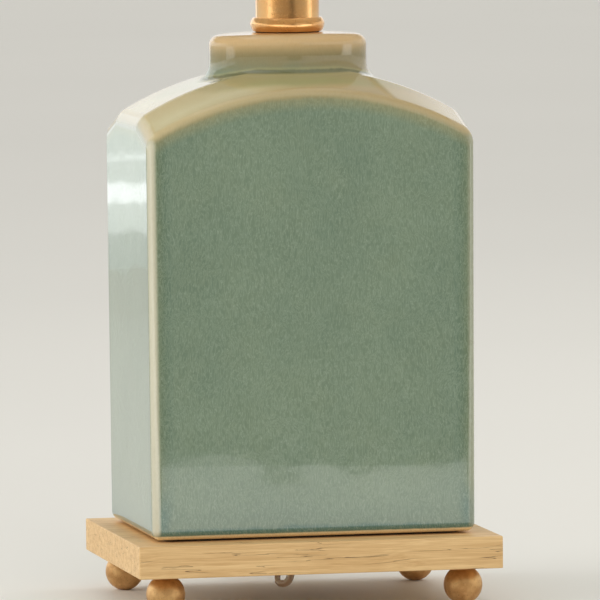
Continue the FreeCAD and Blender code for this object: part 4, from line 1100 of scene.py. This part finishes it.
@dataclass
class Studio:
    """Camera at the photograph's place, plain floor and soft light."""

    camera_place: Point = (-1.147996, -5.384267, 0.635575)
    right: Point = (0.97757025, -0.21041676, -0.0090104)
    down: Point = (-0.02547666, -0.07567642, -0.99680691)
    forward: Point = (0.20906301, 0.97467834, -0.07933973)
    lens: float = 500.0
    sensor: float = 36.0
    floor_half: float = 80.0
    card_y: float = 2.3
    card_span: tuple[float, float, float, float] = (-1.05, -0.3, 0.04, 1.3)
    lamps: Sequence[Lamp] = (
        Lamp("window", (-2.4, -0.2, 1.3), (1.4, 1.8), 26.0, (1.0, 0.99, 0.97)),
        Lamp("side", (2.4, 1.0, 1.6), (1.2, 1.6), 12.0, (1.0, 0.97, 0.92)),
        Lamp("front", (0.8, -3.4, 2.6), (2.4, 1.8), 27.0, (1.0, 0.99, 0.97)),
    )

    def add_camera(self) -> None:
        """Set the camera."""
        data = bpy.data.cameras.new("camera")
        data.lens = self.lens
        data.sensor_width = self.sensor
        data.clip_end = 100.0
        camera = bpy.data.objects.new("camera", data)
        bpy.context.scene.collection.objects.link(camera)
        up = [-part for part in self.down]
        back = [-part for part in self.forward]
        turn = Matrix((self.right, up, back)).transposed()
        camera.matrix_world = Matrix.Translation(self.camera_place) @ turn.to_4x4()
        bpy.context.scene.camera = camera

    def add_floor(self) -> None:
        """Pale plain floor. Seen only in reflections, it carries a painted reflection: it glows in front of the
        lamp and is painted dark farther off.
        """
        half = self.floor_half
        corners = np.array([(-half, -half, 0), (half, -half, 0), (half, half, 0), (-half, half, 0)])
        floor = new_piece("floor", mesh_of("floor", corners, [(0, 1, 2, 3)]))
        coat = Coat("floor")
        place = coat.place()
        x, y, _ = place
        cloud = coat.noise(place, (900.0, 900.0, 900.0), 1.0)
        wave = coat.noise(place, (300.0, 300.0, 300.0), 3.0, 4.0) - 0.5
        # painted reflection: for glossy rays only, the far floor is painted dark and the floor in front of the
        # lamp glows
        far_reflection_shade = (y + wave * 190.0 + (x - 260.0).size() * 0.22).rise(-985.0, -1000.0)
        mirrored = coat.field(coat.new("ShaderNodeLightPath").outputs["Is Glossy Ray"])
        tints = ((cloud, (231, 230, 225)), (far_reflection_shade * mirrored, (118, 110, 98)))
        values = {
            "Base Color": coat.layers((236, 235, 230), tints),
            "Emission Color": (1.0, 1.0, 0.97, 1.0),
            "Emission Strength": (1.0 - far_reflection_shade) * mirrored * y.rise(-420.0, -560.0) * 1.2,
            "Roughness": 0.6,
        }
        floor.data.materials.append(coat.done(values))

    def add_room(self) -> None:
        """Plain pale surroundings: brighter at the window side, darker behind the camera.

        The ways round the lamp are in degrees from the front, right positive.
        """
        world = bpy.data.worlds.new("room")
        bpy.context.scene.world = world
        world.use_nodes = True
        board = Sheet(world.node_tree)
        board.tree.nodes.clear()
        way = board.new("ShaderNodeTexCoord").outputs["Generated"]
        x, y, z = board.split(way)
        turned = x.math("ARCTAN2", y * -1.0) * (180 / math.pi)
        low = z.rise(0.5, 0.2)
        near = turned.rise(-100.0, -60.0) * turned.rise(20.0, 5.0)
        dark = turned.rise(-6.0, 0.0) * turned.rise(18.0, 12.0) * low
        right_side = turned.rise(26.0, 44.0) * turned.rise(125.0, 100.0) * low
        window_side = turned.rise(-72.0, -90.0) * turned.rise(-165.0, -140.0)
        back = y.rise(0.6, 0.95) * z.rise(0.02, 0.16) * low
        walls = (
            (near, (198, 191, 178)),
            (dark, (56, 46, 36)),
            (right_side, (0.86, 0.84, 0.79, 1.0)),
            (back, (1.1, 1.1, 1.07, 1.0)),
            (window_side, (1.3, 1.32, 1.3, 1.0)),
        )
        mirrored = board.layers((232, 229, 220), walls)
        path = board.new("ShaderNodeLightPath")
        rays = ("Is Camera Ray", "Is Glossy Ray", "Is Transmission Ray")
        direct, shiny, through = (board.field(path.outputs[ray]) for ray in rays)
        lit = board.mix(direct, (217, 215, 211), (226, 224, 218))
        plain = board.new("ShaderNodeBackground")
        board.tree.links.new(board.mix(shiny.most(through), lit, mirrored), plain.inputs["Color"])
        output = board.new("ShaderNodeOutputWorld")
        board.tree.links.new(plain.outputs[0], output.inputs[0])

    def add_card(self) -> None:
        """Glowing card behind and to the left, seen only in the glaze, for the window's reflection."""
        left, right, low, high = self.card_span
        corners = np.array([(left, low), (right, low), (right, high), (left, high)])
        corners = np.column_stack([corners[:, 0], np.full(4, self.card_y), corners[:, 1]])
        card = new_piece("window_card", mesh_of("window_card", corners, [(0, 1, 2, 3)]))
        coat = Coat("window_card")
        place = coat.place()
        z = place[2]
        ripple = coat.noise(place, (130.0, 100.0, 60.0), 2.0) - 0.5
        height = z + ripple * 26.0
        sill = height.rise(100.0, 104.0) * height.rise(122.0, 118.0)
        bar = (height - 143.0).size().rise(4.0, 1.5)
        panes = (
            (height.rise(70.0, 76.0), (1.12, 1.17, 1.12, 1.0)),
            ((sill + bar * 0.6).least(1.0), (1.9, 1.95, 1.95, 1.0)),
            (z.rise(190.0, 260.0), (1.25, 1.3, 1.32, 1.0)),
        )
        values = {
            "Base Color": paint(0, 0, 0),
            "Specular IOR Level": 0.0,
            "Emission Color": coat.layers((0.75, 0.78, 0.74, 1.0), panes),
            "Emission Strength": 1.0,
        }
        card.data.materials.append(coat.done(values))
        card.visible_camera = False
        card.visible_diffuse = False
        card.visible_shadow = False

    def build(self) -> None:
        """Set everything but the camera."""
        self.add_floor()
        self.add_card()
        for lamp in self.lamps:
            lamp.add()
        self.add_room()
        bpy.context.scene.view_settings.view_transform = "Standard"


# ---------------------------------------------------------------- cord
@dataclass
class MainsCord:
    """Flat twin cord: a fold under the stem, a stretch along the underside, a coil, and its plug.

    The route's points are in millimetres, the same as in the lamp's own source.
    """

    width: float = 5.1
    thickness: float = 4.2
    length: float = 1.777
    run: Sequence[Point] = (
        (0, 0, 25.3), (-0.2, 0.1, 16.8), (-2.6, 1.8, 8.2), (-9.4, 6.2, 8.2), (-6.8, 12.5, 15.8),
        (-7.6, 23, 21.35), (-7.4, 43, 22.15), (-6.4, 69, 22.15), (-6.6, 95, 20.2), (-8.4, 118, 9.4),
        (-6.2, 142, 2.5), (-6.6, 162, 2.9), (-7, 175, 3.6),
    )
    tail: Sequence[Point] = (
        (21.5, 146.5, 21.0), (6, 146.2, 20.2), (-10, 148.4, 15), (-22, 155.4, 10.2), (-28.4, 167, 6.6),
        (-29.4, 178, 5.5),
    )
    coil_centre: tuple[float, float] = (26.5, 180.0)
    coil_radius: float = 33.5
    coil_turns: float = 8.75
    coil_layers: int = 4
    coil_pitch: float = 5.8
    coil_floor: float = 3.6
    points_per_turn: int = 24
    section_steps: int = 20
    plug_slices: Sequence[Point] = (
        (0.0, 3.6, 3.2), (1.2, 3.9, 3.6), (2.2, 3.3, 3.1), (3.4, 4.2, 3.8), (4.4, 3.5, 3.3),
        (5.6, 4.6, 4.0), (6.6, 3.9, 3.6), (8.0, 5.4, 4.4), (10.0, 8.2, 4.9), (12.5, 10.2, 5.3),
        (16.0, 10.9, 5.5), (22.0, 10.6, 5.3), (26.5, 10.9, 5.5), (29.6, 10.9, 5.5), (31.0, 10.2, 4.8),
    )
    plug_sides: int = 40
    tie_gap: float = 0.3
    tie_corner: float = 4.0
    tie_half_width: float = 4.2
    tie_thickness: float = 0.6
    tie_section: Sequence[tuple[float, float]] = (
        (-1, -0.3), (-1, 0.3), (-0.75, 0.5), (0.75, 0.5), (1, 0.3), (1, -0.3), (0.75, -0.5), (-0.75, -0.5),
    )
    level_from: float = 0.045
    level_over: float = 0.035

    def coil_point(self, turns: float) -> Point:
        """Middle of the cord after so many turns of the coil."""
        layer_turns = self.coil_turns / self.coil_layers
        layer = min(int(turns / layer_turns), self.coil_layers - 1)
        along = turns - layer * layer_turns
        radius = self.coil_radius - self.coil_pitch * along
        if layer % 2:
            radius = self.coil_radius - self.coil_pitch * (layer_turns - along)
        climbed = 0.0
        for reversal in range(1, self.coil_layers):
            share = min(max((turns - reversal * layer_turns) * 2 + 0.5, 0.0), 1.0)
            climbed += (1 - math.cos(math.pi * share)) / 2
        angle = math.pi - 2 * math.pi * turns
        x = self.coil_centre[0] + radius * math.cos(angle)
        y = self.coil_centre[1] + radius * math.sin(angle)
        return (x, y, self.coil_floor + self.coil_pitch * climbed)

    def route(self) -> list[Point]:
        """All points of the cord in metres."""
        count = round(self.coil_turns * self.points_per_turn)
        coil = [self.coil_point(self.coil_turns * index / count) for index in range(count + 1)]
        return [tuple(part * MM for part in point) for point in [*self.run, *coil, *self.tail]]

    def centre_line(self) -> np.ndarray:
        """Points of the route's smooth spline."""
        curve = bpy.data.curves.new("cord route", "CURVE")
        curve.dimensions = "3D"
        spline = curve.splines.new("NURBS")
        points = self.route()
        spline.points.add(len(points) - 1)
        for place, point in zip(spline.points, points):
            place.co = (*point, 1.0)
        spline.order_u = 3
        spline.use_endpoint_u = True
        spline.resolution_u = 5
        holder = bpy.data.objects.new("cord route", curve)
        bpy.context.scene.collection.objects.link(holder)
        graph = bpy.context.evaluated_depsgraph_get()
        mesh = bpy.data.meshes.new_from_object(holder.evaluated_get(graph), depsgraph=graph)
        line = np.array([vertex.co for vertex in mesh.vertices])
        bpy.data.objects.remove(holder)
        bpy.data.meshes.remove(mesh)
        return line

    def widths(self, line: np.ndarray, along: np.ndarray) -> np.ndarray:
        """Direction of the flat cord's width at each point.

        It is carried along without twisting, then eased to lie level.

        Args:
            line: The cord's middle.
            along: Length up to each point.

        Returns:
            Unit vectors.
        """
        ways = directions(line)
        wide = np.array([1.0, 0.0, 0.0])
        carried = []
        for way in ways:
            wide = wide - way * wide.dot(way)
            wide = wide / np.linalg.norm(wide)
            carried.append(wide)
        carried = np.array(carried)
        other = np.cross(ways, carried)
        level = np.cross(ways, np.array([0.0, 0.0, 1.0]))
        angle = np.arctan2((level * other).sum(axis=1), (level * carried).sum(axis=1))
        angle = np.unwrap(angle * 2) / 2
        settled = np.searchsorted(along, self.level_from + self.level_over)
        angle -= np.round(angle[settled] / math.pi) * math.pi
        share = np.clip((along - self.level_from) / self.level_over, 0, 1)
        share = share * share * (3 - 2 * share)
        turn = (angle * share)[:, None]
        return carried * np.cos(turn) + other * np.sin(turn)

    def build_cord(self, line: np.ndarray, wardrobe: Wardrobe) -> bpy.types.Object:
        """Make the cord round its middle line, as one tube of two lobes."""
        along = lengths_along(line)
        wide = self.widths(line, along)
        high = np.cross(directions(line), wide)
        angles = np.linspace(0, 2 * math.pi, self.section_steps, endpoint=False)
        lobe = self.thickness / 2
        offset = self.width / 2 - lobe
        sideways = np.cos(angles)
        across = sideways * lobe + np.sign(sideways) * np.abs(sideways) ** 0.5 * offset
        up = np.sin(angles) * lobe * (1 - 0.16 * np.exp(-((across / 0.7) ** 2)))
        section = wide[:, None, :] * across[None, :, None] + high[:, None, :] * up[None, :, None]
        around = np.linspace(0, 1, self.section_steps + 1)
        mesh = loft("mains_cord", line[:, None, :] + section * MM, lengths=(along, around))
        cord = new_piece("mains_cord", mesh)
        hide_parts("cord_run", "cord_coil", "cord_tail")
        wardrobe.finish(cord, "cord_jacket", "base")
        LOG.info("cord length %.4f", along[-1])
        return cord

    def build_plug(self, wardrobe: Wardrobe) -> bpy.types.Object:
        """Make the moulded plug with its ribbed neck."""
        start = np.array(self.tail[-1])
        way = start - np.array(self.tail[-2])
        angle = math.atan2(way[1], way[0])
        forward = np.array([math.cos(angle), math.sin(angle), 0.0])
        left = np.array([-math.sin(angle), math.cos(angle), 0.0])
        up = np.array([0.0, 0.0, 1.0])
        rings = []
        angles = np.linspace(0, 2 * math.pi, self.plug_sides, endpoint=False)
        for reach, half_wide, half_high in self.plug_slices:
            # round at the neck, squarer towards the blades
            squareness = min(1.0, max(0.36, 1.0 - (reach - 6.0) / 9.0))
            across, high = (
                np.sign(part) * np.abs(part) ** squareness * half
                for part, half in ((np.cos(angles), half_wide), (np.sin(angles), half_high))
            )
            rings.append(start + forward * reach + np.outer(across, left) + np.outer(high, up))
        mesh = loft("mains_plug", np.array(rings) * MM)
        plug = new_piece("mains_plug", mesh)
        smooth = plug.modifiers.new("round", "SUBSURF")
        smooth.levels = smooth.render_levels = 1
        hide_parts("plug_body")
        wardrobe.finish(plug, "plug_plastic", "base")
        return plug

    def build_tie(self, wardrobe: Wardrobe) -> bpy.types.Object:
        """Make the band that holds the coil."""
        low, high = (np.array(corner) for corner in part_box("cord_tie"))
        middle = (low + high) / 2
        half = (high - low) / 2 - self.tie_gap * MM
        rings = []
        for y, z in rounded_rectangle(half[1], half[2], self.tie_corner * MM, 6, 6):
            out = np.array([0.0, y, z]) / math.hypot(y, z) * self.tie_thickness * MM
            aside = np.array([self.tie_half_width * MM, 0.0, 0.0])
            centre = middle + np.array([0.0, y, z])
            rings.append([centre + aside * sideways + out * outwards for sideways, outwards in self.tie_section])
        tie = new_piece("coil_band", loft("coil_band", np.array(rings), wrap=True))
        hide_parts("cord_tie")
        wardrobe.finish(tie, "tie_paper", "base")
        return tie

    def build(self, frame: dict, wardrobe: Wardrobe) -> None:
        line = self.centre_line()
        cord = self.build_cord(line, wardrobe)
        plug = self.build_plug(wardrobe)
        tie = self.build_tie(wardrobe)


# ---------------------------------------------------------------- soft pieces of the base and shade
@dataclass
class FeltPad:
    """Felt under the jar."""

    half_x: float = 99.3
    half_y: float = 65.3
    corner: float = 8.0
    low: float = 46.2
    high: float = 47.6
    hole: float = 5.7
    soft_edge: float = 0.6

    def build(self, wardrobe: Wardrobe) -> None:
        """Make the pad with soft edges."""
        outer = rounded_rectangle(self.half_x, self.half_y, self.corner)
        angles = np.arctan2(outer[:, 1], outer[:, 0])
        inner = self.hole * np.stack([np.cos(angles), np.sin(angles)], axis=1)
        middle = (self.low + self.high) / 2
        rings = []
        for share, level in ((1, self.low), (0, self.low), (0, self.high), (1, self.high)):
            edge = inner if share else outer * (1 - self.soft_edge / self.half_x)
            rings.append(np.column_stack([edge, np.full(len(edge), level)]))
        bulge = np.column_stack([outer, np.full(len(outer), middle)])
        rings.insert(2, bulge)
        pad = new_piece("felt_pad", loft("felt_pad", np.array(rings) * MM, wrap=True))
        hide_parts("base_felt")
        wardrobe.finish(pad, "felt", "base")


@dataclass
class ShadeCloth:
    """Cloth and folded edges of the shade."""

    low: float = 434.3
    high: float = 672.3
    half_low: tuple[float, float] = (190.0, 125.0)
    half_high: tuple[float, float] = (165.0, 100.0)
    corner_low: float = 34.0
    corner_high: float = 30.0
    cloth: float = 0.65
    trim_profile: Sequence[tuple[float, float]] = (
        (-1.55, 4.0), (-1.75, 3.9), (-1.8, 0.6), (-1.5, -0.35), (-0.8, -0.7), (0.1, -0.55), (0.62, 0.3),
        (0.72, 2.0), (0.6, 5.0), (0.66, 8.6), (0.5, 9.8), (0.2, 10.0), (0.05, 9.8), (0.02, 5.0),
        (0.0, 0.15), (-0.75, -0.15), (-1.5, 0.15), (-1.5, 2.0),
    )

    def plan(self, offset: float, z: float) -> np.ndarray:
        """Rounded rectangle of the shade at a level, moved out by offset."""
        share = (z - self.low) / (self.high - self.low)
        half_x = self.half_low[0] + (self.half_high[0] - self.half_low[0]) * share + offset
        half_y = self.half_low[1] + (self.half_high[1] - self.half_low[1]) * share + offset
        corner = self.corner_low + (self.corner_high - self.corner_low) * share + offset
        points = rounded_rectangle(half_x, half_y, corner, 12, 24)
        return np.column_stack([points, np.full(len(points), z)])

    def build_cloth(self, wardrobe: Wardrobe) -> None:
        """Make the cloth as a closed thin wall with a flat map."""
        levels = np.linspace(self.low, self.high, 25)
        outer = [self.plan(0.0, z) for z in levels]
        inner = [self.plan(-self.cloth, z) for z in levels[::-1]]
        rings = np.array(outer + inner)
        across = lengths_along(self.plan(0.0, (self.low + self.high) / 2), closed=True) * MM
        along = np.concatenate([levels, levels[::-1], levels[:1]]) * MM
        mesh = loft("shade_cloth", rings * MM, wrap=True, lengths=(along, across))
        cloth = new_piece("shade_cloth", mesh)
        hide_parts("shade_fabric")
        wardrobe.finish(cloth, "shade_linen", "shade")

    def build_trim(self, name: str, upside: bool, wardrobe: Wardrobe) -> bpy.types.Object:
        """Make one folded edge band.

        Args:
            name: The piece's name.
            upside: True for the top edge.
            wardrobe: The finishes.

        Returns:
            The piece.
        """
        rings = []
        for offset, rise in self.trim_profile:
            z = self.high - rise if upside else self.low + rise
            rings.append(self.plan(offset, z))
        lengths = lengths_along(np.array(self.trim_profile), closed=True) * MM
        across = lengths_along(rings[0], closed=True) * MM
        mesh = loft(name, np.array(rings) * MM, wrap=True, lengths=(lengths, across))
        trim = new_piece(name, mesh)
        wardrobe.finish(trim, "shade_trim", "shade")
        return trim

    def build(self, wardrobe: Wardrobe) -> None:
        """Make the cloth and both bands."""
        self.build_cloth(wardrobe)
        low = self.build_trim("shade_edge_bottom", False, wardrobe)
        self.build_trim("shade_edge_top", True, wardrobe)
        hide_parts("shade_trims")


@dataclass
class Threads:
    """Screw threads that show: bulb cap, finial stud and rod end. Sizes in millimetres."""

    rows: Sequence[tuple[str, str, str, float, float, float, float, float]] = (
        ("bulb_thread", "bulb", "aluminium", 13.0, 470.4, 15.0, 3.6, 0.42),
        ("stud_thread", "top_swivel", "brass_plate", 3.0, 657.2, 11.0, 0.9, 0.16),
        ("rod_thread", "base", "zinc", 5.02, 26.6, 0.9, 0.9, 0.1),
    )

    def build(self, wardrobe: Wardrobe) -> None:
        """Wind each ridge."""
        tree = thread_tree()
        for name, body, slot, radius, foot, height, pitch, ridge in self.rows:
            lengths = {"Radius": radius, "Height": height, "Ridge": ridge, "Foot": foot}
            inputs = {label: length * MM for label, length in lengths.items()}
            inputs |= {"Turns": height / pitch, "Finish": wardrobe.materials[slot]}
            piece = grown(name, tree, inputs)
            wardrobe.finish(piece, slot, body)


# ---------------------------------------------------------------- everything in order
def main() -> None:
    """Load the lamp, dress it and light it."""
    logging.basicConfig(level=logging.INFO, format="%(message)s")
    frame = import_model()
    studio = Studio()
    studio.add_camera()
    effects = Effects()
    wardrobe = Wardrobe(effects)
    MainsCord().build(frame, wardrobe)
    wardrobe.dress_nodes(frame)
    FeltPad().build(wardrobe)
    ShadeCloth().build(wardrobe)
    Threads().build(wardrobe)
    studio.build()


if __name__ == "__main__":
    main()
